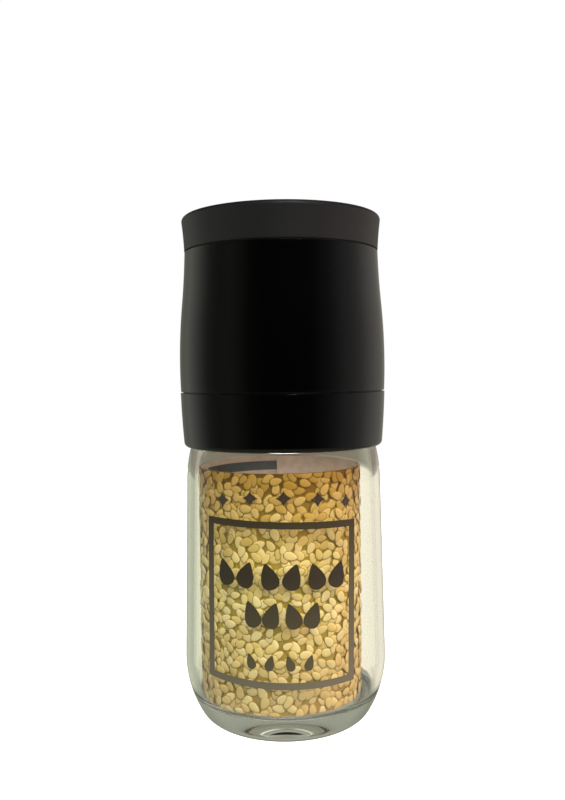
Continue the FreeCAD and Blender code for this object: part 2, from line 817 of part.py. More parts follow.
def spring_seat():
    """Washer under the spring."""
    return ring("spring_seat", spring_seat_level, washer_bore, s.spring_seat_radius, s.spring_seat_thickness)


def burr_spring():
    """Spring that lifts the inner burr against the dial."""
    body = new_body("burr_spring", spring_bottom)
    wire = draw_circle(body, "XZ_Plane", "wire", s.spring_radius, s.spring_wire_radius,
                       s.spring_wire_radius)
    rise = spring_length - s.spring_wire_radius * 2
    wind(body, wire, "coils", rise / s.spring_turns, rise)
    return body


def barrel_shell():
    """Grip of the mill head: a swelling tube that draws in to a waist, with a deck at its top."""
    lip_top = s.barrel_lip_height
    wall = s.barrel_wall
    edge = s.barrel_edge_round
    height = s.barrel_height
    return turned(
        "barrel_shell", barrel_bottom,
        (lip_bore, 0),
        (barrel_foot_radius - edge, 0),
        Bow(barrel_foot_radius, edge, edge),
        Bow(barrel_bend_radius, s.barrel_bend_height, s.barrel_belly_arc),
        Bow(barrel_waist_radius, height - edge, s.barrel_waist_arc, HOLLOW),
        Bow(barrel_waist_radius - edge, height, edge),
        (spout_radius, height),
        (spout_radius, height - s.deck_thickness),
        (barrel_waist_radius - wall, height - s.deck_thickness),
        Bow(barrel_bend_radius - wall, s.barrel_bend_height, s.barrel_waist_arc + wall, CONVEX),
        Bow(lip_bore + (s.barrel_lip_wall - wall), lip_top, s.barrel_belly_arc - wall, HOLLOW),
        (lip_bore, lip_top),
    )


def head_core():
    """Inner housing of the head: bearing flange, tube, funnel and the pocket of the outer burr."""
    flange = s.core_flange_height
    seat = burr_level - barrel_bottom
    tube_top = s.core_tube_height
    throat = burr_pocket - s.burr_seat_width
    wall_top = seat + s.burr_height
    body = turned(
        "head_core", barrel_bottom,
        (core_bore, 0),
        (lip_bore, 0),
        (lip_bore, flange),
        (core_tube_radius, flange),
        (core_tube_radius, tube_top),
        (boss_radius, seat - s.burr_seat_thickness),
        (boss_radius, wall_top),
        (burr_pocket, wall_top),
        (burr_pocket, seat),
        (throat, seat),
        (throat, seat - s.burr_seat_thickness),
        (core_tube_bore, tube_top - s.core_tube_wall / 2),
        (core_tube_bore, flange),
        (core_bore, flange),
    )
    drill(body, burr_places, "burr_screw_hole", s.burr_screw_radius,
          s.burr_screw_length - s.burr_ring_thickness, wall_top)
    return body


def outer_burr():
    """Fixed ceramic ring with a cone inside, cut with straight grooves."""
    inlet = s.outer_burr_inlet_height
    tall = s.burr_height
    body = turned(
        "outer_burr", burr_level,
        (outer_burr_inlet, 0),
        (outer_burr_radius, 0),
        (outer_burr_radius, tall),
        (outer_burr_mouth, tall),
        (outer_burr_throat, inlet),
    )
    deep = s.outer_burr_groove_depth
    end_radius = outer_burr_mouth + burr_slope * OVERRUN
    cut = draw(
        body, "XZ_Plane", "groove_outline",
        (outer_burr_throat - deep, inlet / 2),
        (outer_burr_throat + deep, inlet / 2),
        (end_radius + deep, tall + OVERRUN),
        (end_radius - deep, tall + OVERRUN),
    )
    groove = push_feature(body, "Pocket", cut, "burr_groove", s.outer_burr_groove_width, both_ways=True)
    repeat_round(body, groove, s.outer_burr_grooves, "burr_groove_round")
    return body


def burr_ring():
    """Plate that clamps the outer burr in its pocket."""
    body = ring("burr_ring", burr_top, outer_burr_radius - s.burr_ring_overlap, boss_radius,
                s.burr_ring_thickness)
    drill(body, burr_places, "ring_hole", s.burr_screw_radius, s.burr_ring_thickness,
          s.burr_ring_thickness)
    return body


def burr_screws():
    """Screws through the burr ring into the core."""
    return screw_set("burr_screws", burr_places, burr_ring_top, s.burr_screw_radius,
                     s.burr_screw_length, s.burr_screw_head_radius, s.burr_screw_head_height)


def inner_burr():
    """Turning ceramic cone with slanted grooves that run out towards its wide end."""
    tall = s.burr_height
    body = turned(
        "inner_burr", burr_level,
        (s.inner_burr_bore, 0),
        (inner_burr_small, 0),
        (s.burr_radius, tall),
        (s.inner_burr_bore, tall),
    )
    half = tall / 2
    run = half + OVERRUN
    low = inner_burr_small - burr_slope * OVERRUN
    high = s.burr_radius + burr_slope * OVERRUN
    cut = draw(
        body, "XZ_Plane", "tooth_outline",
        (low - s.inner_burr_groove_deep, -run),
        (low + OVERRUN, -run),
        (high + OVERRUN, run),
        (high - s.inner_burr_groove_shallow, run),
    )
    cut.setExpression("AttachmentOffset.Base.y", half.formula)
    cut.AttachmentOffset = FreeCAD.Placement(
        FreeCAD.Vector(0, half.value, 0),
        FreeCAD.Rotation(FreeCAD.Vector(1, 0, 0), s.inner_burr_groove_slant.value))
    groove = push_feature(body, "Pocket", cut, "tooth_groove", s.inner_burr_groove_width, both_ways=True)
    repeat_round(body, groove, s.inner_burr_grooves, "tooth_groove_round")
    return body


def burr_hub():
    """Plastic hub pressed into the inner burr, with the square hole that the shaft drives."""
    body = turned(
        "burr_hub", hub_flange_level,
        (0, 0),
        (s.hub_flange_radius, 0),
        (s.hub_flange_radius, s.hub_flange_thickness),
        (s.inner_burr_bore, s.hub_flange_thickness),
        (s.inner_burr_bore, s.hub_flange_thickness + s.burr_height + s.hub_rise),
        (0, s.hub_flange_thickness + s.burr_height + s.hub_rise),
    )
    side = s.shaft_side / 2 + s.hub_fit
    square = draw(body, "XY_Plane", "hub_square_outline", *box_outline(-side, -side, side, side))
    push_feature(body, "Pocket", square, "hub_square",
                 s.hub_flange_thickness + s.burr_height + s.hub_rise, reverse=True)
    return body


def thrust_washer():
    """Washer between the hub and the dial."""
    return ring("thrust_washer", washer_level, washer_bore, s.thrust_washer_radius, s.thrust_washer_thickness)


def adjusting_dial():
    """Fluted dial that sets how fine the mill grinds."""
    soft = s.dial_round
    tall = s.dial_height
    body = turned(
        "adjusting_dial", dial_level,
        (s.shaft_thread_radius + s.hub_fit, 0),
        (s.dial_radius, 0),
        (s.dial_radius, tall - soft),
        Bow(s.dial_radius - soft, tall, soft),
        (s.insert_radius, tall),
        (s.insert_radius, tall - s.insert_height),
        (s.shaft_thread_radius + s.hub_fit, tall - s.insert_height),
    )
    reach = s.dial_radius + s.dial_flute_radius - s.dial_flute_depth
    flute_circle = draw_circle(body, "XY_Plane", "flute_circle", reach, 0, s.dial_flute_radius)
    flute = push_feature(body, "Pocket", flute_circle, "dial_flute", tall, reverse=True)
    repeat_round(body, flute, s.dial_flutes, "dial_flute_round")
    return body


def dial_insert():
    """Brass threaded insert in the dial."""
    return ring("dial_insert", dial_level + s.dial_height - s.insert_height,
                s.shaft_thread_radius + s.hub_fit, s.insert_radius, s.insert_height)


def spout():
    """Ring in the deck that the ground seed leaves through and the cap closes over."""
    tip = s.spout_tip_round
    total = s.spout_drop + s.spout_rise
    seat = s.spout_drop - s.deck_thickness
    return turned(
        "spout", spout_bottom,
        (spout_bore, 0),
        (spout_radius, 0),
        (spout_radius, seat - s.spout_flange_thickness),
        (spout_radius + s.spout_flange_width, seat - s.spout_flange_thickness),
        (spout_radius + s.spout_flange_width, seat),
        (spout_radius, seat),
        (spout_radius, total - tip),
        Bow(spout_radius - tip, total, tip),
        (spout_bore, total),
    )


def cap_shell():
    """Cap that widens upwards, with a softly rounded rim and a slightly sunken top."""
    top = s.seam_gap + s.cap_height
    widest = s.seam_gap + s.cap_widest_height
    rim_drop = top - widest
    inset = s.cap_top_inset
    rim_arc = (inset * inset + rim_drop * rim_drop) / (inset * 2)
    dish_radius = cap_widest_radius - inset * 2
    dish = s.cap_dish_depth
    dish_arc = (dish_radius * dish_radius + dish * dish) / (dish * 2)
    lip_outer = cap_foot_radius - s.cap_lip_inset
    lip_inner = lip_outer - s.cap_lip_width
    return turned(
        "cap_shell", barrel_top,
        (lip_inner, 0),
        (lip_outer, 0),
        (lip_outer, s.seam_gap),
        (cap_foot_radius, s.seam_gap),
        Bow(cap_widest_radius, widest, s.cap_flare_arc, HOLLOW),
        Bow(cap_widest_radius - inset, top, rim_arc),
        (dish_radius, top),
        Bow(0, top - dish, dish_arc, HOLLOW),
        (0, cap_roof_level),
        (cap_widest_radius - s.cap_wall, cap_roof_level),
        (cap_foot_radius - s.cap_wall, s.seam_gap + s.cap_roof),
        (lip_inner, s.seam_gap + s.cap_roof / 2),
    )


def cap_liner():
    """Inner cup of the cap that slides over the spout."""
    seal_room = cap_roof_level - s.liner_roof
    return turned(
        "cap_liner", barrel_top,
        (liner_bore, s.liner_lift),
        (liner_radius, s.liner_lift),
        (liner_radius, cap_roof_level),
        (0, cap_roof_level),
        (0, seal_room),
        (liner_bore, seal_room),
    )


def cap_seal():
    """Soft ring in the liner that closes on the spout's rim."""
    return ring("cap_seal", spout_top, spout_bore + s.seal_inset, spout_radius - s.seal_inset,
                cap_roof_level - s.liner_roof - s.spout_rise)


PIECES = (
    glass_jar, printed_insert, jar_gasket,
    collar, slip_ring, sleeve_clip, shaft_bridge, bridge_screws, drive_shaft, shaft_clip,
    spring_seat, burr_spring,
    barrel_shell, head_core, outer_burr, burr_ring, burr_screws, spout,
    inner_burr, burr_hub, thrust_washer, adjusting_dial, dial_insert,
    cap_shell, cap_liner, cap_seal,
)


def check(pieces):
    """Stop if any object failed or any piece has no valid shape."""
    for item in doc.Objects:
        if "Invalid" in item.State or "Error" in item.State:
            raise RuntimeError(f"{item.Name} failed: {item.State}")
    for piece in pieces:
        if piece.Shape.isNull() or not piece.Shape.isValid():
            raise RuntimeError(f"{piece.Label} has no valid shape")
        print(piece.Label, len(piece.Shape.Solids), round(piece.Shape.Volume, 2))


pieces = [make() for make in PIECES]
doc.recompute()
check(pieces)
os.makedirs("parts", exist_ok=True)
for piece in pieces:
    piece.Shape.exportStep(f"parts/{piece.Label}.step")
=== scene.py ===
"""The looks of a sesame mill: a glass jar with a printed card inside, under a black twist head."""

import logging
import math
from dataclasses import dataclass
from enum import Enum
from typing import Any, Callable, Sequence

import bpy
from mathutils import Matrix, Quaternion, Vector


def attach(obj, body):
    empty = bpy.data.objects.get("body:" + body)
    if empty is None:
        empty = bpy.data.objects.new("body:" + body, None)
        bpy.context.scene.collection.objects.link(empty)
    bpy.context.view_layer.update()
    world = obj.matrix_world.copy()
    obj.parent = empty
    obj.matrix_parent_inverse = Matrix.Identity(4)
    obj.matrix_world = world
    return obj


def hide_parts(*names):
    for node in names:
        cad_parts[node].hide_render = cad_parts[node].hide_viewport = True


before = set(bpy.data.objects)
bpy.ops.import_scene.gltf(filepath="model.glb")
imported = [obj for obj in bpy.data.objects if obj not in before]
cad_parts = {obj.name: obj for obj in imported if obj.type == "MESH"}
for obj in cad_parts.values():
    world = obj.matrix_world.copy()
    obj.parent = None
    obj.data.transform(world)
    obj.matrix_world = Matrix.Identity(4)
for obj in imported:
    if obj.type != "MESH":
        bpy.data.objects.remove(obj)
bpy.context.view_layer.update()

MM = 0.001
SEED = 20
LATHE_SEGMENTS = 256
# Radius in millimetres under which a point of an outline is a pole
POLE_RADIUS = 1e-6
# How near a radius in millimetres has to be to a threaded wall to carry its ridge
THREAD_REACH = 0.01
# Share of a turn in which a screw ridge rises to its full height
THREAD_RUN_IN = 0.06
# Rings of a printed seed: share of its outline, of its crown's height, and of its brown rim
SEED_RINGS = ((1.0, 0.0, 1.0), (0.8, 0.62, 0.25), (0.5, 0.92, 0.0))

Colour = tuple[float, float, float, float]
Point = tuple[float, float]
Spot = tuple[float, float, float]
Face = Sequence[int]
Piece = bpy.types.Object
Material = bpy.types.Material
Node = bpy.types.Node
Socket = bpy.types.NodeSocket
Tree = bpy.types.NodeTree
UNIT: Point = (0.0, 1.0)

log = logging.getLogger("mill")


class Part(Enum):
    """The moving bodies that the pieces made here ride on."""

    JAR = "jar"
    COLLAR = "collar"
    HEAD = "mill_head"
    CAP = "cap"


class Side(Enum):
    """Which way an arc of a profile bulges: out of the solid, or into it."""

    OUT = 1
    IN = -1


def linear(hex_colour: str) -> Colour:
    """Turn an sRGB hex colour into linear values.

    Args:
        hex_colour: Six hex digits after a hash sign.

    Returns:
        Red, green, blue and an alpha of 1.
    """
    channels = [int(hex_colour[place:place + 2], 16) / 255 for place in (1, 3, 5)]
    red, green, blue = (c / 12.92 if c <= 0.04045 else ((c + 0.055) / 1.055) ** 2.4 for c in channels)
    return red, green, blue, 1.0


def feed(tree: Tree, node: Node, links: dict[str | int, Any]) -> None:
    """Give a node's inputs their values, or link them to the sockets that feed them."""
    for name, value in links.items():
        socket = node.inputs[name]
        if isinstance(value, Socket):
            tree.links.new(value, socket)
        else:
            socket.default_value = value


def add_node(tree: Tree, kind: str, links: dict[str | int, Any] | None = None, **settings: Any) -> Node:
    """Add one node with its settings, its input values and its input links.

    Args:
        tree: The node tree to add to.
        kind: The node's type name.
        links: Input name or index to a value, or to the output socket that feeds it.
        settings: Attributes of the node itself.

    Returns:
        The new node.
    """
    node = tree.nodes.new(kind)
    for name, value in settings.items():
        setattr(node, name, value)
    feed(tree, node, links or {})
    return node


def new_material(name: str) -> tuple[Material, Tree, Node]:
    """An empty node material, its tree and its Principled shader, wired to the output."""
    material = bpy.data.materials.new(name)
    material.use_nodes = True
    tree = material.node_tree
    tree.nodes.clear()
    shader = add_node(tree, "ShaderNodeBsdfPrincipled")
    add_node(tree, "ShaderNodeOutputMaterial", {"Surface": shader.outputs[0]})
    return material, tree, shader


def ramp(tree: Tree, factor: Socket, stops: Sequence[tuple[float, str]]) -> Socket:
    """A colour ramp through sRGB hex stops, driven by a factor."""
    node = add_node(tree, "ShaderNodeValToRGB", {"Fac": factor})
    elements = node.color_ramp.elements
    while len(elements) < len(stops):
        elements.new(0.5)
    for element, (position, colour) in zip(elements, stops):
        element.position = position
        element.color = linear(colour)
    return node.outputs["Color"]


def spread(tree: Tree, value: Socket, given: Point, wanted: Point = UNIT, **settings: Any) -> Socket:
    """Carry a value from the range that it is given in to the range that is wanted."""
    node = add_node(tree, "ShaderNodeMapRange", {
        "Value": value, "From Min": given[0], "From Max": given[1],
        "To Min": wanted[0], "To Max": wanted[1]}, **settings)
    return node.outputs["Result"]


def mix_colours(tree: Tree, share: Socket, first: Socket, second: Socket) -> Socket:
    """The first colour at a share of 0, and the second at a share of 1."""
    node = add_node(tree, "ShaderNodeMix", {0: share, 6: first, 7: second}, data_type="RGBA")
    return node.outputs[2]


def noise(tree: Tree, size_mm: float, detail: float, squeeze: float = 1.0) -> Socket:
    """Noise fixed to the object.

    Args:
        tree: The node tree to add to.
        size_mm: About how wide its features are, in millimetres.
        detail: Its octaves of finer noise.
        squeeze: How many times flatter than wide its features are.

    Returns:
        The socket of a value from 0 to 1.
    """
    place = add_node(tree, "ShaderNodeTexCoord").outputs["Object"]
    squeezed = add_node(tree, "ShaderNodeMapping", {"Vector": place, "Scale": (1.0, 1.0, squeeze)})
    node = add_node(tree, "ShaderNodeTexNoise", {
        "Vector": squeezed.outputs[0], "Scale": 1.0 / (size_mm * MM), "Detail": detail})
    return node.outputs["Fac"]


def bump(tree: Tree, height: Socket, strength: float, depth: float) -> Socket:
    """The normal of fine relief whose full depth is in millimetres."""
    node = add_node(tree, "ShaderNodeBump", {
        "Height": height, "Strength": strength, "Distance": depth * MM})
    return node.outputs["Normal"]


def level_share(tree: Tree, low: float, high: float) -> Socket:
    """Height on the object as a share of the way from low to high, in millimetres."""
    place = add_node(tree, "ShaderNodeTexCoord").outputs["Object"]
    height = add_node(tree, "ShaderNodeSeparateXYZ", {0: place}).outputs["Z"]
    return spread(tree, height, (low * MM, high * MM))


@dataclass(frozen=True)
class Finish:
    """A surface finish, which fills in the shader of a new material."""

    name: str

    def fill(self, tree: Tree, shader: Node) -> None:
        """Give the shader its values and its links."""
        raise NotImplementedError

    def build(self) -> Material:
        """Make the material."""
        material, tree, shader = new_material(self.name)
        self.fill(tree, shader)
        return material


@dataclass(frozen=True)
class MouldedPlastic(Finish):
    """An injection-moulded plastic: even colour, faint flow marks, and the mould's fine grain."""

    colour: str
    roughness: float
    grain_mm: float
    grain_depth: float = 0.02
    grain_strength: float = 0.25
    flow_mm: float = 14.0
    flow_contrast: float = 0.03
    ior: float = 1.54

    def fill(self, tree: Tree, shader: Node) -> None:
        """Give the shader its values and its links."""
        flow = noise(tree, self.flow_mm, 2.0)
        grain = noise(tree, self.grain_mm, 3.0)
        rough = (self.roughness - self.flow_contrast, self.roughness + self.flow_contrast)
        feed(tree, shader, {
            "Base Color": linear(self.colour), "IOR": self.ior,
            "Roughness": spread(tree, flow, UNIT, rough),
            "Normal": bump(tree, grain, self.grain_strength, self.grain_depth)})


@dataclass(frozen=True)
class Metal(Finish):
    """A worked metal: its own colour in reflection, with fine tool or draw marks."""

    colour: str
    roughness: float
    mark_mm: float = 0.48
    mark_squeeze: float = 6.0
    mark_depth: float = 0.01
    mark_strength: float = 0.2
    mark_contrast: float = 0.3

    def fill(self, tree: Tree, shader: Node) -> None:
        """Give the shader its values and its links."""
        marks = noise(tree, self.mark_mm, 4.0, self.mark_squeeze)
        rough = (self.roughness * (1 - self.mark_contrast), self.roughness * (1 + self.mark_contrast))
        feed(tree, shader, {
            "Base Color": linear(self.colour), "Metallic": 1.0,
            "Roughness": spread(tree, marks, UNIT, rough),
            "Normal": bump(tree, marks, self.mark_strength, self.mark_depth)})


@dataclass(frozen=True)
class Ceramic(Finish):
    """Sintered alumina: an off-white body with a fine matt grain."""

    name: str = "sintered_alumina"
    tones: tuple[tuple[float, str], ...] = ((0.3, "#dcd8cc"), (0.7, "#f1efe6"))
    roughness: float = 0.48
    grain_mm: float = 0.3
    grain_depth: float = 0.02
    grain_strength: float = 0.3

    def fill(self, tree: Tree, shader: Node) -> None:
        """Give the shader its values and its links."""
        grain = noise(tree, self.grain_mm, 4.0)
        feed(tree, shader, {
            "Base Color": ramp(tree, grain, self.tones), "Roughness": self.roughness,
            "Normal": bump(tree, grain, self.grain_strength, self.grain_depth)})


@dataclass(frozen=True)
class SodaLimeGlass(Finish):
    """Pressed soda-lime glass: clear, faintly green, and open to the light of lamps.

    Its skin is fire-polished, unless it is given a roughness.
    """

    name: str = "soda_lime_glass"
    colour: str = "#fafbf8"
    shade: str = "#e8ece4"
    ior: float = 1.52
    roughness: float = 0.0

    def fill(self, tree: Tree, shader: Node) -> None:
        """Give the shader its values and its links, and let shadow rays through."""
        feed(tree, shader, {
            "Base Color": linear(self.colour), "IOR": self.ior, "Roughness": self.roughness,
            "Transmission Weight": 1.0})
        clear = add_node(tree, "ShaderNodeBsdfTransparent", {"Color": linear(self.shade)})
        ray = add_node(tree, "ShaderNodeLightPath")
        both = add_node(tree, "ShaderNodeMixShader", {
            0: ray.outputs["Is Shadow Ray"], 1: shader.outputs[0], 2: clear.outputs[0]})
        output = next(node for node in tree.nodes if node.type == "OUTPUT_MATERIAL")
        feed(tree, output, {"Surface": both.outputs[0]})


@dataclass(frozen=True)
class SeedPrint(Finish):
    """Print of heaped sesame: golden near the card's top, pale in the middle, beige at the foot.

    The print is lit as in a photograph of real seed: each seed is pale on its crown and brown at
    its outline, its slopes are painted lighter or darker, and neighbours differ in tone.
    """

    low: float
    high: float
    gaps_only: bool = False
    dull: tuple[str, ...] = ("#ad9061", "#c6ab66", "#a07d3a", "#7d5915")
    bright: tuple[str, ...] = ("#c2aa7c", "#dac494", "#b79a62", "#957236")
    edge: tuple[str, ...] = ("#8f7040", "#978030", "#7a5c1c", "#4c2f05")
    stops: tuple[float, ...] = (0.0, 0.5, 0.82, 1.0)
    rim: Point = (0.2, 0.75)
    shading: Point = (0.76, 1.18)
    roughness: float = 0.5

    def fill(self, tree: Tree, shader: Node) -> None:
        """Give the shader its values and its links."""
        level = level_share(tree, self.low, self.high)
        colour = edge = ramp(tree, level, list(zip(self.stops, self.edge)))
        if not self.gaps_only:
            dull, bright = (ramp(tree, level, list(zip(self.stops, colours)))
                            for colours in (self.dull, self.bright))
            tone, skirt, lit = (add_node(tree, "ShaderNodeAttribute", attribute_name=name).outputs["Fac"]
                                for name in ("tone", "rim", "lit"))
            rim = spread(tree, skirt, self.rim, interpolation_type="SMOOTHSTEP")
            seed = mix_colours(tree, rim, mix_colours(tree, tone, dull, bright), edge)
            shade = spread(tree, lit, UNIT, self.shading)
            shaded = add_node(tree, "ShaderNodeVectorMath", {0: seed, "Scale": shade}, operation="SCALE")
            colour = shaded.outputs["Vector"]
        feed(tree, shader, {"Base Color": colour, "Roughness": self.roughness})


@dataclass(frozen=True)
class CoatedCard(Finish):
    """Thin coated card: a short soft sheen over a faintly mottled colour."""

    tones: tuple[tuple[float, str], ...]
    mottle_mm: float = 2.5
    roughness: float = 0.5

    def fill(self, tree: Tree, shader: Node) -> None:
        """Give the shader its values and its links."""
        tone = ramp(tree, noise(tree, self.mottle_mm, 3.0), self.tones)
        feed(tree, shader, {"Base Color": tone, "Roughness": self.roughness})


@dataclass(frozen=True)
class ScreenInk(Finish):
    """Screen-printed enamel ink: matt and dense; given a second colour, it turns lighter and greyer towards a
    lower level, as painted light from the floor below.
    """

    colour: str
    floor_lit_colour: str = ""
    low: float = 0.0
    high: float = 1.0
    roughness: float = 0.55
    cover_mm: float = 0.5
    cover_contrast: float = 0.1

    def fill(self, tree: Tree, shader: Node) -> None:
        """Give the shader its values and its links."""
        cover = noise(tree, self.cover_mm, 2.0)
        rough = (self.roughness - self.cover_contrast, self.roughness + self.cover_contrast)
        colour = linear(self.colour)
        # Painted light: the ink turns lighter towards its lower level, as if the floor below lit it
        if self.floor_lit_colour:
            share = level_share(tree, self.low, self.high)
            colour = ramp(tree, share, [(0.0, self.floor_lit_colour), (1.0, self.colour)])
        feed(tree, shader, {"Base Color": colour, "Roughness": spread(tree, cover, UNIT, rough)})


class Profile:
    """The outline of a turned piece as radius and height in millimetres, counter-clockwise."""

    def __init__(self, radius: float, height: float) -> None:
        """Start the outline at a point."""
        self.points: list[Point] = [(radius, height)]

    def line(self, radius: float, height: float, step: float = 0.0) -> None:
        """Run straight to a point.

        Args:
            radius: Radius of the end.
            height: Height of the end.
            step: Longest piece of the run, or 0 for one piece.
        """
        start = self.points[-1]
        length = math.hypot(radius - start[0], height - start[1])
        pieces = max(1, math.ceil(length / step)) if step else 1
        self.points += [mix_points(start, (radius, height), number / pieces)
                        for number in range(1, pieces + 1)]

    def lines(self, *ends: Point) -> None:
        """Run straight from point to point."""
        for radius, height in ends:
            self.line(radius, height)

    def arc(self, radius: float, height: float, bend: float, side: Side = Side.OUT,
            pieces: int = 8) -> None:
        """Run along an arc to a point.

        Args:
            radius: Radius of the end.
            height: Height of the end.
            bend: The arc's own radius.
            side: Which way it bulges.
            pieces: Straight pieces that draw it.
        """
        start = Vector(self.points[-1])
        end = Vector((radius, height))
        along = end - start
        rise = math.sqrt(max(bend ** 2 - (along.length / 2) ** 2, 0.0))
        left = Vector((-along.y, along.x)).normalized()
        centre = (start + end) / 2 + left * (rise * side.value)
        first = math.atan2(start.y - centre.y, start.x - centre.x)
        last = math.atan2(end.y - centre.y, end.x - centre.x)
        sweep = (last - first) % math.tau if side is Side.OUT else -((first - last) % math.tau)
        for number in range(1, pieces):
            angle = first + sweep * number / pieces
            self.points.append((centre.x + bend * math.cos(angle), centre.y + bend * math.sin(angle)))
        self.points.append((radius, height))


# Turns a radius, a height and an angle into the extra radius there
Warp = Callable[[float, float, float], float]
# Turns two values of a point and a height over a surface into a place in metres
Surface = Callable[[float, float, float], Spot]


def mix_points(start: Point, end: Point, share: float) -> Point:
    """The point a share of the way from start to end."""
    return start[0] + (end[0] - start[0]) * share, start[1] + (end[1] - start[1]) * share


def add_object(name: str, data: bpy.types.ID) -> Piece:
    """A new object of some data, linked to the scene."""
    piece = bpy.data.objects.new(name, data)
    bpy.context.scene.collection.objects.link(piece)
    return piece


def new_object(name: str, vertices: Sequence[Spot], faces: Sequence[Face],
               sharp_degrees: float | None = 32.0) -> Piece:
    """A mesh object at the origin, smooth but for its sharp edges.

    Args:
        name: Name of the piece.
        vertices: Places in metres.
        faces: Corners of each face, counter-clockwise from outside.
        sharp_degrees: Edges that turn more than this stay sharp, or None for flat faces.

    Returns:
        The object, linked to the scene.
    """
    mesh = bpy.data.meshes.new(name)
    mesh.from_pydata(vertices, [], faces)
    mesh.validate()
    if sharp_degrees is not None:
        mesh.shade_smooth()
        mesh.set_sharp_from_angle(angle=math.radians(sharp_degrees))
    return add_object(name, mesh)


def lathe(name: str, outline: Profile, lift: float = 0.0, warp: Warp | None = None) -> Piece:
    """Turn a closed outline about the upright axis.

    Args:
        name: Name of the piece.
        outline: The outline in millimetres. Points at radius 0 become poles.
        lift: Height added to the outline, in millimetres.
        warp: Extra radius for a radius, a height and an angle, such as a screw thread.

    Returns:
        The turned object.
    """
    vertices: list[Spot] = []
    rows: list[list[int]] = []
    for radius, height in outline.points:
        steps = 1 if radius < POLE_RADIUS else LATHE_SEGMENTS
        rows.append(list(range(len(vertices), len(vertices) + steps)))
        for number in range(steps):
            angle = math.tau * number / LATHE_SEGMENTS
            reach = radius + (warp(radius, height, angle) if warp and steps > 1 else 0.0)
            vertices.append((reach * MM * math.cos(angle), reach * MM * math.sin(angle),
                             (height + lift) * MM))
    faces: list[Face] = []
    for row, below in enumerate(rows):
        above = rows[(row + 1) % len(rows)]
        if len(below) == 1 and len(above) == 1:
            continue
        for number in range(LATHE_SEGMENTS):
            following = (number + 1) % LATHE_SEGMENTS
            if len(below) == 1:
                faces.append((below[0], above[following], above[number]))
            elif len(above) == 1:
                faces.append((below[number], below[following], above[0]))
            else:
                faces.append((below[number], below[following], above[following], above[number]))
    return new_object(name, vertices, faces)


def dress(piece: Piece, material: Material) -> Piece:
    """Give a piece one material."""
    piece.data.materials.clear()
    piece.data.materials.append(material)
    return piece


def settle(piece: Piece, part: Part, slot: str, *replaced: str) -> None:
    """Hang a finished piece on its body, and hide the nodes that it stands for.

    Args:
        piece: The finished piece.
        part: The body that it rides on.
        slot: The record's material slot; not used.
        replaced: CAD nodes that it stands for.
    """
    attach(piece, part.value)
    if replaced:
        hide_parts(*replaced)
    log.info("%s rides on %s", piece.name, part.value)


def slab(name: str, place: Surface, points: Sequence[Point],
         proud: Point, faces: Sequence[Face]) -> Piece:
    """A thin closed piece between two heights over a curved surface.

    Args:
        name: Name of the piece.
        place: The surface.
        points: The points of the sheet.
        proud: Height of its outer side, then of its inner side.
        faces: Faces of the outer side, counter-clockwise from outside.

    Returns:
        The closed object.
    """
    outer, inner = ([place(*point, height) for point in points] for height in proud)
    count = len(points)
    edges = dict.fromkeys(edge for face in faces for edge in zip(face, (*face[1:], face[0])))
    back = [tuple(count + corner for corner in reversed(face)) for face in faces]
    walls = [(end, start, count + start, count + end) for start, end in edges if (end, start) not in edges]
    return new_object(name, [*outer, *inner], [*faces, *back, *walls])


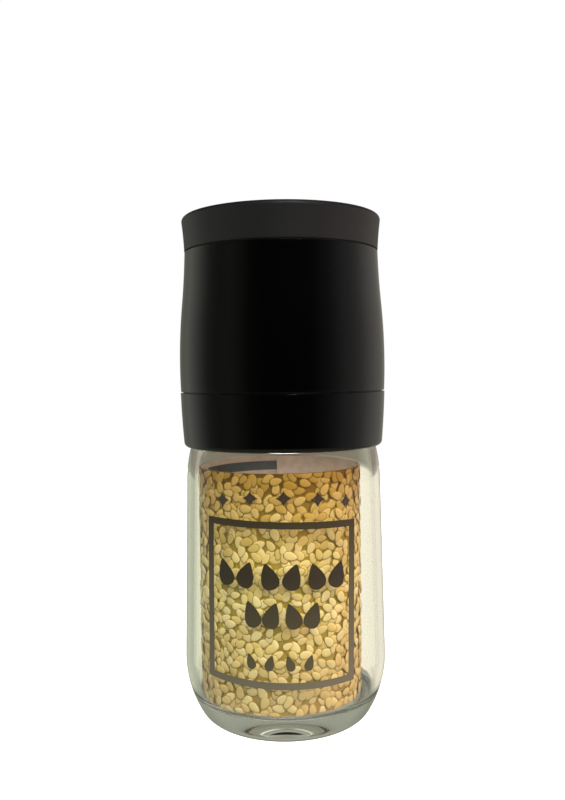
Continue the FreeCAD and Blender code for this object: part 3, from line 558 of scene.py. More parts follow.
@dataclass
class Jar:
    """The glass jar: hollow foot, round heel, straight side, shoulder and threaded neck."""

    height: float = 88.6
    belly_radius: float = 28.4
    belly_level: float = 17.85
    heel_arc: float = 5.53
    side_angle: float = 30.5
    wall: float = 2.0
    taper: float = 1.05
    neck_height: float = 9.7
    shoulder_drop: float = 11.7
    fold_drop: float = 2.0
    fold_inset: float = 1.35
    fold_arc: float = 42.0
    ledge_width: float = 0.4
    ledge_arc: float = 1.9
    neck_inset: float = 3.15
    neck_wall: float = 2.2
    rim_round: float = 0.7
    floor: float = 7.4
    inner_heel_arc: float = 3.0
    inner_shoulder_arc: float = 8.0
    inner_neck_rise: float = 1.2
    foot_radius: float = 18.4
    foot_hollow: float = 2.2
    thread_pitch: float = 4.0
    thread_turns: float = 1.1
    thread_depth: float = 1.1
    thread_root: float = 1.6
    thread_crest: float = 0.8
    thread_start: float = 2.3
    stipple_level: float = 2.3
    stipple_slope: float = 0.9
    long_step: float = 8.0
    thread_step: float = 0.2
    glass: SodaLimeGlass = SodaLimeGlass()
    foot_glass: SodaLimeGlass = SodaLimeGlass("stippled_foot_glass", roughness=0.4)

    @property
    def ledge_level(self) -> float:
        """Level of the narrow ledge at the neck's foot."""
        return self.height - self.neck_height

    @property
    def fold_level(self) -> float:
        """Level where the shoulder turns in to the ledge."""
        return self.ledge_level - self.fold_drop

    @property
    def shoulder_level(self) -> float:
        """Level where the straight side ends."""
        return self.ledge_level - self.shoulder_drop

    @property
    def shoulder_radius(self) -> float:
        """Radius where the straight side ends."""
        return self.belly_radius - self.taper

    @property
    def neck_radius(self) -> float:
        """Radius of the neck between its thread ridges."""
        return self.shoulder_radius - self.neck_inset

    @property
    def side_arc(self) -> float:
        """Radius of the arc that draws the heel into the side."""
        rise = self.belly_level - self.heel_arc
        return self.heel_arc + rise / math.sin(math.radians(self.side_angle))

    @property
    def side_centre(self) -> float:
        """Distance of that arc's centre from the axis."""
        return self.belly_radius - self.side_arc

    @property
    def inner_floor_radius(self) -> float:
        """Radius of the flat floor inside the jar."""
        reach = self.side_arc - self.wall - self.inner_heel_arc
        drop = self.belly_level - self.floor - self.inner_heel_arc
        return self.side_centre + math.sqrt(reach ** 2 - drop ** 2)

    def side_radius(self, level: float) -> float:
        """Radius of the outside at a level between the heel and the shoulder."""
        if level < self.belly_level:
            return self.side_centre + math.sqrt(self.side_arc ** 2 - (self.belly_level - level) ** 2)
        share = (level - self.belly_level) / (self.shoulder_level - self.belly_level)
        return self.belly_radius - self.taper * share

    def thread(self, radius: float, level: float, angle: float) -> float:
        """Extra radius of the neck's screw ridge."""
        if abs(radius - self.neck_radius) > THREAD_REACH:
            return 0.0
        start = self.ledge_level + self.thread_start + self.thread_root / 2
        return thread_rise(level - start, angle, self.thread_pitch, self.thread_turns,
                           self.thread_root, self.thread_crest) * self.thread_depth

    def outline(self) -> Profile:
        """The jar's closed outline, from the middle of its foot."""
        bend = self.side_arc
        angle = math.radians(self.side_angle)
        contact = self.belly_radius - self.heel_arc - (bend - self.heel_arc) * (1 - math.cos(angle))
        hollow_arc = (self.foot_radius ** 2 + self.foot_hollow ** 2) / (2 * self.foot_hollow)
        bore = self.neck_radius - self.neck_wall
        fold = self.shoulder_radius - self.fold_inset
        inner_arc = bend - self.wall
        share = inner_arc / (inner_arc - self.inner_heel_arc)
        inset = self.inner_floor_radius - self.side_centre
        heel_drop = self.belly_level - self.floor - self.inner_heel_arc
        rim = self.rim_round
        body = Profile(0.0, self.foot_hollow)
        body.arc(self.foot_radius, 0.0, hollow_arc, Side.IN, pieces=10)
        body.line(contact, 0.0, step=1.0)
        body.arc(contact + self.heel_arc * math.cos(angle),
                 self.heel_arc * (1 - math.sin(angle)), self.heel_arc, pieces=14)
        body.arc(self.belly_radius, self.belly_level, bend, pieces=20)
        body.line(self.shoulder_radius, self.shoulder_level, self.long_step)
        body.arc(fold, self.fold_level, self.fold_arc, pieces=12)
        body.arc(self.neck_radius + self.ledge_width, self.ledge_level, self.ledge_arc)
        body.line(self.neck_radius, self.ledge_level)
        body.line(self.neck_radius, self.height - rim, self.thread_step)
        body.arc(self.neck_radius - rim, self.height, rim, pieces=5)
        body.line(bore + rim, self.height)
        body.arc(bore, self.height - rim, rim, pieces=5)
        body.line(bore, self.ledge_level + self.inner_neck_rise, step=4.0)
        body.arc(fold - self.wall, self.fold_level, self.inner_shoulder_arc, Side.IN, pieces=10)
        body.arc(self.shoulder_radius - self.wall, self.shoulder_level,
                 self.fold_arc - self.wall, Side.IN, pieces=12)
        body.line(self.belly_radius - self.wall, self.belly_level, self.long_step)
        body.arc(self.side_centre + inset * share, self.belly_level - heel_drop * share,
                 inner_arc, Side.IN, pieces=14)
        body.arc(self.inner_floor_radius, self.floor, self.inner_heel_arc, Side.IN)
        body.line(0.0, self.floor, step=3.0)
        return body

    def build(self) -> None:
        """Turn the jar and dress it in glass, stippled under the foot."""
        piece = lathe("jar_glass_shell", self.outline(), warp=self.thread)
        dress(piece, self.glass.build())
        piece.data.materials.append(self.foot_glass.build())
        for face in piece.data.polygons:
            under_foot = face.center.z < self.stipple_level * MM and face.normal.z < -self.stipple_slope
            face.material_index = 1 if under_foot else 0
        settle(piece, Part.JAR, "jar_glass", "glass_jar")


def thread_rise(level: float, angle: float, pitch: float, turns: float, root: float,
                crest: float) -> float:
    """Height of a screw ridge above its root, from 0 to 1.

    Args:
        level: Height above the ridge's start.
        angle: Angle round the axis in radians.
        pitch: Rise in one turn.
        turns: How many turns the ridge makes.
        root: Width of the ridge at its root.
        crest: Width of the ridge at its crest.

    Returns:
        The share of the full depth.
    """
    highest = 0.0
    share = (angle % math.tau) / math.tau
    for lap in range(math.ceil(turns)):
        turn = lap + share
        if turn > turns:
            continue
        away = abs(level - pitch * turn)
        flank = (root - crest) / 2
        side = min(1.0, max(0.0, (root / 2 - away) / flank))
        run_in = min(1.0, turn / THREAD_RUN_IN, (turns - turn) / THREAD_RUN_IN)
        highest = max(highest, side * max(run_in, 0.0))
    return highest


@dataclass
class CardRoll:
    """The printed card: a rolled tube whose outer side is a close print of sesame seed."""

    jar: Jar
    gap: float = 3.9
    shift: float = 1.2
    thickness: float = 0.4
    top_gap: float = 7.9
    roll_step: float = 4.0
    seam: float = 70.5
    free_angle: float = 32.0
    lap_angle: float = 22.0
    rest: float = 0.05
    steps: int = 180
    seed_length: float = 3.6
    seed_width: float = 2.3
    seed_spacing: float = 1.5
    seed_relief: float = 0.07
    seed_pile: float = 0.5
    seed_tilt: float = 0.01
    seed_shading: float = 5.0
    seed_spread: float = 0.14
    seed_point: float = 0.26
    seed_corners: int = 10
    seed_density: float = 900000.0
    seed_margin: float = 0.05
    hidden_lap: float = 2.0
    star_level: float = 64.8
    star_turn: float = 2.7
    star_step: float = 21.8
    star_creep: float = 0.55
    star_count: int = 5
    star_width: float = 4.0
    star_height: float = 4.0
    star_hollow: float = 0.72
    star_sag: float = 0.37
    star_fall: float = 0.31
    strip_low: float = 66.6
    strip_high: float = 69.4
    strip_start: float = 90.0
    strip_end: float = 165.0
    film: float = 0.06
    film_gap: float = 0.01
    # The inner side's grey-brown tones are painted shade: the unprinted back of the card, darkened as it lies
    # inside the roll
    back: CoatedCard = CoatedCard("shaded_card_back", ((0.3, "#87705c"), (0.7, "#96816e")))
    star_ink: ScreenInk = ScreenInk("dark_brown_print", "#2b1d18")
    strip_ink: ScreenInk = ScreenInk("dark_grey_print", "#140f0a")

    @property
    def radius(self) -> float:
        """Outer radius of the roll."""
        return self.jar.belly_radius - self.jar.wall - self.gap

    @property
    def bottom(self) -> float:
        """Level of the lower edge, where it rests on the jar's inner heel."""
        heel = self.jar.inner_heel_arc
        reach = self.radius + self.shift - self.jar.inner_floor_radius
        return self.jar.floor + heel - math.sqrt(heel ** 2 - reach ** 2) + self.rest

    @property
    def height(self) -> float:
        """Height of the card, up to its gap below the jar's ledge."""
        return self.jar.ledge_level - self.top_gap - self.bottom

    @property
    def tuck(self) -> float:
        """Angle, one turn on, from which the card draws in under itself."""
        return self.seam - self.free_angle + 360.0

    def roll_radius(self, angle: float) -> float:
        """Distance of the card's outer side from the axis at an angle in degrees."""
        away = math.radians(max(0.0, angle - self.tuck))
        step = self.roll_step
        return step * math.cos(away) + math.sqrt((self.radius - step) ** 2 - (step * math.sin(away)) ** 2)

    def spot(self, angle: float, level: float, proud: float) -> Spot:
        """A place on the card, proud of its outer side, in metres."""
        reach = self.roll_radius(angle) + proud
        return ((reach * math.cos(math.radians(angle)) - self.shift) * MM,
                reach * math.sin(math.radians(angle)) * MM, level * MM)

    def card(self) -> Piece:
        """The bare card, its outer and inner sides in two colours."""
        end = self.tuck + self.free_angle + self.lap_angle
        angles = [self.seam + (end - self.seam) * number / self.steps for number in range(self.steps + 1)]
        top = self.bottom + self.height
        points = [(angle, level) for angle in angles for level in (self.bottom, top)]
        faces = [(2 * n, 2 * n + 2, 2 * n + 3, 2 * n + 1) for n in range(self.steps)]
        piece = slab("card_tube", self.spot, points, (0.0, -self.thickness), faces)
        mesh = piece.data
        mesh.materials.append(SeedPrint("seed_print_gaps", self.bottom, top, True).build())
        mesh.materials.append(self.back.build())
        for number, face in enumerate(mesh.polygons):
            face.material_index = 0 if number < self.steps else 1
        return piece

    def seed_blank(self) -> Piece:
        """One printed seed lying flat: a drop outline under a low crown, in metres."""
        count = self.seed_corners
        vertices: list[Spot] = []
        rims: list[float] = []
        for scale, rise, rim in SEED_RINGS:
            for number in range(count):
                angle = math.tau * number / count
                narrow = 1.0 - self.seed_point * math.cos(angle)
                vertices.append((self.seed_length / 2 * math.cos(angle) * scale * MM,
                                 self.seed_width / 2 * math.sin(angle) * narrow * scale * MM,
                                 rise * self.seed_relief * MM))
                rims.append(rim)
        vertices.append((0.0, 0.0, self.seed_relief * MM))
        rims.append(0.0)
        faces: list[Face] = []
        for low in (0, count):
            high = low + count
            faces += [(low + n, low + (n + 1) % count, high + (n + 1) % count, high + n)
                      for n in range(count)]
        faces += [(2 * count + n, 2 * count + (n + 1) % count, 3 * count) for n in range(count)]
        faces.append(tuple(reversed(range(count))))
        blank = new_object("seed_blank", vertices, faces, sharp_degrees=80.0)
        attribute = blank.data.attributes.new("rim", "FLOAT", "POINT")
        attribute.data.foreach_set("value", rims)
        return blank

    def seed_tree(self, blank: Piece) -> Tree:
        """Geometry Nodes that strew seeds over a flat strip and bend the strip into the roll.

        Args:
            blank: The seed to repeat.

        Returns:
            The tree, with inputs for its sizes.
        """
        tree = bpy.data.node_groups.new("seed_strewing", "GeometryNodeTree")
        face = tree.interface
        face.new_socket("Geometry", in_out="INPUT", socket_type="NodeSocketGeometry")
        for name in ("Length", "Height", "Spacing", "Pile", "Radius", "Roll Step", "Start Angle",
                     "Tuck Angle", "Bottom", "Shift"):
            face.new_socket(name, in_out="INPUT", socket_type="NodeSocketFloat")
        face.new_socket("Seed", in_out="INPUT", socket_type="NodeSocketInt")
        face.new_socket("Geometry", in_out="OUTPUT", socket_type="NodeSocketGeometry")
        given = add_node(tree, "NodeGroupInput").outputs

        def maths(operation: str, *values: Any) -> Socket:
            return add_node(tree, "ShaderNodeMath", dict(enumerate(values)), operation=operation).outputs[0]

        def product(first: Any, second: Any) -> Socket:
            return maths("MULTIPLY", first, second)

        def total(first: Any, second: Any) -> Socket:
            return maths("ADD", first, second)

        def any_value(low: float, high: float, place: int) -> Socket:
            seed = total(given["Seed"], float(place))
            node = add_node(tree, "FunctionNodeRandomValue", {"Min": low, "Max": high, "Seed": seed})
            return node.outputs["Value"]

        def store(geometry: Socket, name: str, value: Socket) -> Socket:
            node = add_node(tree, "GeometryNodeStoreNamedAttribute", {
                "Geometry": geometry, "Name": name, "Value": value}, data_type="FLOAT", domain="POINT")
            return node.outputs["Geometry"]

        strip = add_node(tree, "GeometryNodeMeshGrid", {"Size X": given["Length"], "Size Y": given["Height"]})
        points = add_node(tree, "GeometryNodeDistributePointsOnFaces", {
            "Mesh": strip.outputs["Mesh"], "Distance Min": given["Spacing"],
            "Density Max": self.seed_density, "Seed": given["Seed"]}, distribute_method="POISSON")
        toned = store(points.outputs["Points"], "tone", any_value(0.0, 1.0, 1))
        drop = add_node(tree, "GeometryNodeObjectInfo", {"Object": blank})
        spin = add_node(tree, "ShaderNodeCombineXYZ", {
            "X": any_value(-self.seed_tilt, self.seed_tilt, 2),
            "Y": any_value(-self.seed_tilt, self.seed_tilt, 3), "Z": any_value(0.0, math.tau, 4)})
        size = any_value(1.0 - self.seed_spread, 1.0 + self.seed_spread, 5)
        laid = add_node(tree, "GeometryNodeInstanceOnPoints", {
            "Points": toned, "Instance": drop.outputs["Geometry"],
            "Rotation": spin.outputs[0], "Scale": size})
        pile = add_node(tree, "ShaderNodeCombineXYZ", {"Z": product(given["Pile"], any_value(0.0, 1.0, 6))})
        raised = add_node(tree, "GeometryNodeTranslateInstances", {
            "Instances": laid.outputs["Instances"], "Translation": pile.outputs[0], "Local Space": False})
        real = add_node(tree, "GeometryNodeRealizeInstances", {"Geometry": raised.outputs["Instances"]})

        facing = add_node(tree, "GeometryNodeInputNormal").outputs[0]
        slope = add_node(tree, "ShaderNodeSeparateXYZ", {0: facing}).outputs
        sideways = product(slope[0], self.seed_shading / 2)
        upwards = product(slope[1], self.seed_shading)
        lit = store(real.outputs["Geometry"], "lit", total(total(sideways, upwards), 0.5))
        flat = add_node(tree, "GeometryNodeInputPosition").outputs[0]
        here = add_node(tree, "ShaderNodeSeparateXYZ", {0: flat}).outputs
        half_length = product(given["Length"], 0.5)
        half_height = product(given["Height"], 0.5)
        along = maths("MINIMUM", maths("MAXIMUM", here[0], product(half_length, -1.0)), half_length)
        across = maths("MINIMUM", maths("MAXIMUM", here[1], product(half_height, -1.0)), half_height)
        angle = total(maths("DIVIDE", total(along, half_length), given["Radius"]), given["Start Angle"])
        away = maths("MAXIMUM", maths("SUBTRACT", angle, given["Tuck Angle"]), 0.0)
        small = maths("SUBTRACT", given["Radius"], given["Roll Step"])
        sunk = product(given["Roll Step"], maths("SINE", away))
        reach = maths("SQRT", maths("SUBTRACT", product(small, small), product(sunk, sunk)))
        roll = total(product(given["Roll Step"], maths("COSINE", away)), reach)
        proud = total(roll, here[2])
        bent = add_node(tree, "ShaderNodeCombineXYZ", {
            "X": maths("SUBTRACT", product(proud, maths("COSINE", angle)), given["Shift"]),
            "Y": product(proud, maths("SINE", angle)),
            "Z": total(total(across, half_height), given["Bottom"])})
        rolled = add_node(tree, "GeometryNodeSetPosition", {"Geometry": lit, "Position": bent.outputs[0]})
        add_node(tree, "NodeGroupOutput", {"Geometry": rolled.outputs["Geometry"]})
        return tree

    def seeds(self) -> Piece:
        """The printed seeds as low relief over the whole visible side of the card."""
        blank = self.seed_blank()
        sweep = math.radians(360.0 - self.hidden_lap)
        edge = self.seed_margin
        host = new_object("seed_host", [(0, 0, 0), (MM, 0, 0), (0, MM, 0)], [(0, 1, 2)], None)
        host.modifiers.new("seeds", "NODES").node_group = self.seed_tree(blank)
        values = {
            "Length": sweep * self.radius * MM, "Height": (self.height - 2 * edge) * MM,
            "Spacing": self.seed_spacing * MM, "Pile": self.seed_pile * MM, "Radius": self.radius * MM,
            "Roll Step": self.roll_step * MM, "Start Angle": math.radians(self.seam),
            "Tuck Angle": math.radians(self.tuck), "Bottom": (self.bottom + edge) * MM,
            "Shift": self.shift * MM, "Seed": SEED,
        }
        material = SeedPrint("sesame_seed_print", self.bottom, self.bottom + self.height).build()
        return dress(plain_result(host, "card_seeds", values, blank), material)

    def star(self, number: int) -> Piece:
        """One dark four-pointed star, by its place in the row counted from the middle.

        Args:
            number: 0 in the middle, negative to the left. The outer stars lie a little lower.

        Returns:
            The star as a thin closed film.
        """
        count = 32
        angle = 270.0 + self.star_turn + self.star_step * number + self.star_creep * number ** 2
        centre = self.star_level - self.star_sag * number ** 2 - self.star_fall * number
        seed_top = self.seed_relief + self.seed_tilt * self.seed_length / 2
        top = self.seed_pile + seed_top * (1 + self.seed_spread)
        power = self.star_hollow
        places = [(0.0, 0.0)]
        for corner in range(count):
            turn = math.tau * corner / count
            reach = (abs(math.cos(turn)) ** power + abs(math.sin(turn)) ** power) ** (-1 / power)
            places.append((self.star_width / 2 * reach * math.cos(turn),
                           self.star_height / 2 * reach * math.sin(turn)))
        points = [(angle + math.degrees(across / self.radius), centre + up) for across, up in places]
        return slab("card_star", self.spot, points, (top + self.film, top), fan(count))

    def inner_strip(self) -> Piece:
        """The plain dark strip printed on the inner side, near the upper edge."""
        steps = 36
        sweep = self.strip_end - self.strip_start
        points = [(self.strip_start + sweep * n / steps, level)
                  for n in range(steps + 1) for level in (self.strip_low, self.strip_high)]
        faces = [(2 * n + 1, 2 * n + 3, 2 * n + 2, 2 * n) for n in range(steps)]
        proud = (-self.thickness - self.film, -self.thickness - self.film_gap)
        return slab("card_strip", self.spot, points, proud, faces)

    def build(self) -> None:
        """Make the card, its print, its stars and its inner strip."""
        settle(self.card(), Part.JAR, "printed_card", "printed_insert")
        settle(self.seeds(), Part.JAR, "printed_card")
        half = self.star_count // 2
        stars = join("card_stars", [self.star(number) for number in range(-half, half + 1)])
        settle(dress(stars, self.star_ink.build()), Part.JAR, "printed_card")
        settle(dress(self.inner_strip(), self.strip_ink.build()), Part.JAR, "printed_card")


def fan(count: int) -> list[Face]:
    """Triangles from a middle point, number 0, to the points round it."""
    return [(0, 1 + number, 1 + (number + 1) % count) for number in range(count)]


def join(name: str, pieces: Sequence[Piece]) -> Piece:
    """Merge several mesh pieces into one object and remove the singles."""
    vertices: list[Spot] = []
    faces: list[Face] = []
    for piece in pieces:
        start = len(vertices)
        vertices += [tuple(vertex.co) for vertex in piece.data.vertices]
        faces += [tuple(start + corner for corner in face.vertices) for face in piece.data.polygons]
        bpy.data.objects.remove(piece)
    return new_object(name, vertices, faces)


def plain_result(host: Piece, name: str, values: dict[str, float], blank: Piece) -> Piece:
    """Set a Geometry Nodes modifier's inputs and keep its result as a plain mesh object.

    Args:
        host: The object that carries the modifier.
        name: Name of the new piece.
        values: Input name to value.
        blank: The repeated object, removed afterwards.

    Returns:
        The plain object.
    """
    modifier = host.modifiers[0]
    for item in modifier.node_group.interface.items_tree:
        if item.item_type == "SOCKET" and item.in_out == "INPUT" and item.name in values:
            modifier[item.identifier] = values[item.name]
    evaluated = host.evaluated_get(bpy.context.evaluated_depsgraph_get())
    mesh = bpy.data.meshes.new_from_object(evaluated)
    mesh.name = name
    bpy.data.objects.remove(host)
    bpy.data.objects.remove(blank)
    log.info("%s has %d faces", name, len(mesh.polygons))
    return add_object(name, mesh)


@dataclass
class FrontPrint:
    """The print on the glass: a plain frame round three rows of seed marks."""

    jar: Jar
    half_angle: float = 43.6
    shift_at_top: float = -1.1
    shift_at_foot: float = -1.6
    narrowing: float = 0.05
    skew: float = 0.023
    sag: float = 0.8
    top: float = 59.4
    bottom: float = 16.9
    rule: float = 1.8
    stile: float = 1.95
    proud: float = 0.05
    film: float = 0.03
    lean: float = 18.0
    mark_point: float = 0.55
    mark_fullness: float = 1.12
    # Each row: how many, middle level, step, shift to the right, length and width
    rows: tuple[tuple[int, float, float, float, float, float], ...] = (
        (6, 45.5, 6.28, 0.2, 6.9, 4.9),
        (4, 35.6, 5.5, 0.6, 6.8, 4.6),
        (4, 23.6, 5.3, 0.0, 4.1, 2.5),
    )
    # Each ink's second, lighter colour at its lower level is painted light from the floor below
    frame_ink: ScreenInk = ScreenInk("grey_brown_screen_ink", "#241f14", "#4a4638", 16.6, 59.5)
    mark_ink: ScreenInk = ScreenInk("dark_brown_screen_ink", "#221e15", "#3a3626", 20.0, 45.0)

    def spot(self, across: float, level: float, proud: float) -> Spot:
        """A place over the jar's front, across by arc length in millimetres, in metres."""
        down = (self.top - level) / (self.top - self.bottom)
        half = math.radians(self.half_angle) * self.jar.belly_radius
        level += self.sag * down * (across / half) ** 2 - self.skew * across
        shift = self.shift_at_top + (self.shift_at_foot - self.shift_at_top) * down
        across = across * (1.0 - self.narrowing * down) + shift
        reach = (self.jar.side_radius(level) + proud) * MM
        angle = math.radians(270.0) + across / self.jar.belly_radius
        return reach * math.cos(angle), reach * math.sin(angle), level * MM

    def film_piece(self, name: str, places: Sequence[Point], faces: Sequence[Face]) -> Piece:
        """A thin closed film over the glass from flat places and faces."""
        return slab(name, self.spot, places, (self.proud + self.film, self.proud), faces)

    def frame_piece(self) -> Piece:
        """The four-sided frame as one film."""
        half = math.radians(self.half_angle) * self.jar.belly_radius
        columns = 60
        rows = 30
        corners = [(-half, self.bottom), (half, self.bottom), (half, self.top), (-half, self.top)]
        left = -half + self.stile
        low = self.bottom + self.rule
        high = self.top - self.rule
        inset = [(left, low), (-left, low), (-left, high), (left, high)]
        places: list[Point] = []
        for number in range(4):
            pieces = columns if number % 2 == 0 else rows
            following = (number + 1) % 4
            for step in range(pieces):
                share = step / pieces
                places.append(mix_points(corners[number], corners[following], share))
                places.append(mix_points(inset[number], inset[following], share))
        count = len(places)
        faces = [(n, (n + 2) % count, (n + 3) % count, n + 1) for n in range(0, count, 2)]
        return self.film_piece("print_frame", places, faces)

    def seed_mark(self, across: float, level: float, length: float, width: float, lean: float) -> Piece:
        """One printed seed: a drop with its point up.

        Args:
            across: Arc length from the middle of the front, in millimetres.
            level: Height of its middle.
            length: Length from foot to point.
            width: Greatest width.
            lean: Lean of the point to the right, in degrees.

        Returns:
            The mark as a thin closed film.
        """
        count = 32
        rings = 3
        turn = math.radians(90.0 - lean)
        places: list[Point] = [(across, level)]
        for ring in range(1, rings + 1):
            for number in range(count):
                angle = math.tau * number / count
                narrow = (1.0 - self.mark_point * math.cos(angle)) / self.mark_fullness
                along = length / 2 * math.cos(angle) * ring / rings
                aside = width / 2 * math.sin(angle) * narrow * ring / rings
                places.append((across + along * math.cos(turn) - aside * math.sin(turn),
                               level + along * math.sin(turn) + aside * math.cos(turn)))
        faces = fan(count)
        for ring in range(rings - 1):
            low = 1 + ring * count
            high = low + count
            for number in range(count):
                following = (number + 1) % count
                faces.append((low + number, high + number, high + following, low + following))
        return self.film_piece("print_mark", places, faces)

    def marks(self) -> list[Piece]:
        """Three rows of seed marks that lean to the left and right by turns."""
        pieces: list[Piece] = []
        for count, level, step, shift, length, width in self.rows:
            for number in range(count):
                across = shift + step * (number - (count - 1) / 2)
                lean = self.lean if number % 2 else -self.lean
                pieces.append(self.seed_mark(across, level, length, width, lean))
        return pieces

    def build(self) -> None:
        """Make the frame and the marks as two films on the jar."""
        settle(dress(self.frame_piece(), self.frame_ink.build()), Part.JAR, "jar_glass")
        marks = join("print_marks", self.marks())
        settle(dress(marks, self.mark_ink.build()), Part.JAR, "jar_glass")


@dataclass
class Collar:
    """The threaded black collar on the jar's neck."""

    jar: Jar
    lap: float = 0.3
    wall: float = 2.87
    taper: float = 0.79
    corner: float = 1.4
    lead_in_width: float = 0.45
    lead_in_height: float = 1.5
    side_arc: float = 250.0
    gasket: float = 1.4
    web: float = 1.68
    crest_clearance: float = 0.6
    root_clearance: float = 0.5
    sleeve_inset: float = 3.9
    sleeve_wall: float = 2.0
    sleeve_height: float = 8.5
    ledge: float = 4.0
    slip_depth: float = 0.9
    slip_width: float = 4.3
    slip_inset: float = 2.0
    clip_level: float = 96.53
    clip_depth: float = 0.8
    clip_height: float = 1.2
    play: float = 0.1
    edge: float = 0.12
    edge_inset: float = 0.02

    @property
    def bore(self) -> float:
        """Radius inside the skirt, between its thread ridges."""
        return self.jar.neck_radius + self.jar.thread_depth + self.crest_clearance

    @property
    def radius(self) -> float:
        """Radius of the upper outer edge."""
        return self.bore + self.wall

    @property
    def bottom(self) -> float:
        """Level of the skirt's lower face, just below the jar's fold."""
        return self.jar.fold_level - self.lap

    @property
    def web_bottom(self) -> float:
        """Level of the web's lower face, on the jar's gasket."""
        return self.jar.height + self.gasket

    @property
    def top(self) -> float:
        """Level of the collar's upper face."""
        return self.web_bottom + self.web

    def thread(self, radius: float, level: float, angle: float) -> float:
        """Radius that the inner screw ridge takes off the bore."""
        if abs(radius - self.bore) > THREAD_REACH:
            return 0.0
        jar = self.jar
        depth = self.bore - jar.neck_radius - self.root_clearance
        start = jar.ledge_level + jar.thread_start + jar.thread_root / 2 - jar.thread_pitch / 2
        return -depth * thread_rise(level - start, angle, jar.thread_pitch, jar.thread_turns,
                                    jar.thread_root, jar.thread_crest)

    def outline(self) -> Profile:
        """The collar's closed outline."""
        sleeve = self.bore - self.sleeve_inset
        sleeve_bore = sleeve - self.sleeve_wall
        slip_outer = self.bore + self.slip_inset
        slip_inner = slip_outer - self.slip_width
        slip_floor = self.top - self.slip_depth
        foot = self.radius - self.taper
        brow = self.radius - self.edge_inset
        groove = sleeve - self.clip_depth
        groove_low = self.clip_level - self.play
        groove_high = self.clip_level + self.clip_height + self.play
        sleeve_top = self.top + self.sleeve_height
        ledge_bore = sleeve_bore - self.ledge
        body = Profile(self.bore + self.lead_in_width, self.bottom)
        body.line(foot - self.corner, self.bottom)
        body.arc(foot, self.bottom + self.corner, self.corner)
        body.arc(brow, self.top - self.edge, self.side_arc, pieces=12)
        body.arc(brow - self.edge, self.top, self.edge, pieces=4)
        body.lines(
            (slip_outer, self.top), (slip_outer, slip_floor), (slip_inner, slip_floor),
            (slip_inner, self.top), (sleeve, self.top), (sleeve, groove_low), (groove, groove_low),
            (groove, groove_high), (sleeve, groove_high), (sleeve, sleeve_top), (sleeve_bore, sleeve_top),
            (sleeve_bore, self.top), (ledge_bore, self.top), (ledge_bore, self.web_bottom),
            (self.bore, self.web_bottom))
        body.line(self.bore, self.bottom + self.lead_in_height, self.jar.thread_step)
        return body

    def build(self, finish: Material) -> None:
        """Turn the collar and dress it."""
        piece = lathe("collar_ring", self.outline(), warp=self.thread)
        settle(dress(piece, finish), Part.COLLAR, "black_abs_gloss", "collar")


@dataclass
class Barrel:
    """The waisted grip of the mill head, with the deck at its top."""

    collar: Collar
    seam: float = 0.3
    height: float = 38.57
    swell: float = 0.07
    belly_height: float = 7.6
    belly_arc: float = 170.0
    bend_height: float = 24.1
    waist_depth: float = 1.72
    waist_arc: float = 218.0
    wall: float = 1.8
    edge: float = 0.14
    lip_height: float = 4.6
    lip_wall: float = 2.15
    deck: float = 1.7
    opening_gap: float = 3.85

    @property
    def bottom(self) -> float:
        """Level of the lower edge."""
        return self.collar.top + self.seam

    @property
    def top(self) -> float:
        """Level of the deck."""
        return self.bottom + self.height

    @property
    def belly(self) -> float:
        """Widest radius."""
        return self.collar.radius + self.swell

    @property
    def waist(self) -> float:
        """Radius at the top."""
        return self.belly - self.waist_depth

    @property
    def spout_radius(self) -> float:
        """Radius of the opening in the deck."""
        return self.waist - self.wall - self.opening_gap

    def drop(self, height: float) -> float:
        """How far the belly's arc falls inside the widest radius at a height."""
        return self.belly_arc - math.sqrt(self.belly_arc ** 2 - (self.belly_height - height) ** 2)

    def outline(self) -> Profile:
        """The barrel's closed outline from its own lower edge."""
        foot = self.belly - self.drop(0.0)
        bend = self.belly - self.drop(self.bend_height)
        lip = foot - self.lip_wall
        tall = self.height
        body = Profile(lip, 0.0)
        body.line(foot - self.edge, 0.0)
        body.arc(foot, self.edge, self.edge, pieces=4)
        body.arc(bend, self.bend_height, self.belly_arc, pieces=24)
        body.arc(self.waist, tall - self.edge, self.waist_arc, Side.IN, pieces=16)
        body.arc(self.waist - self.edge, tall, self.edge, pieces=4)
        body.lines((self.spout_radius, tall), (self.spout_radius, tall - self.deck),
                   (self.waist - self.wall, tall - self.deck))
        body.arc(bend - self.wall, self.bend_height, self.waist_arc + self.wall)
        body.arc(lip + (self.lip_wall - self.wall), self.lip_height, self.belly_arc - self.wall, Side.IN)
        body.line(lip, self.lip_height)
        return body

    def build(self, finish: Material) -> None:
        """Turn the barrel and dress it."""
        piece = lathe("barrel_grip", self.outline(), self.bottom)
        settle(dress(piece, finish), Part.HEAD, "black_abs_gloss", "barrel_shell")


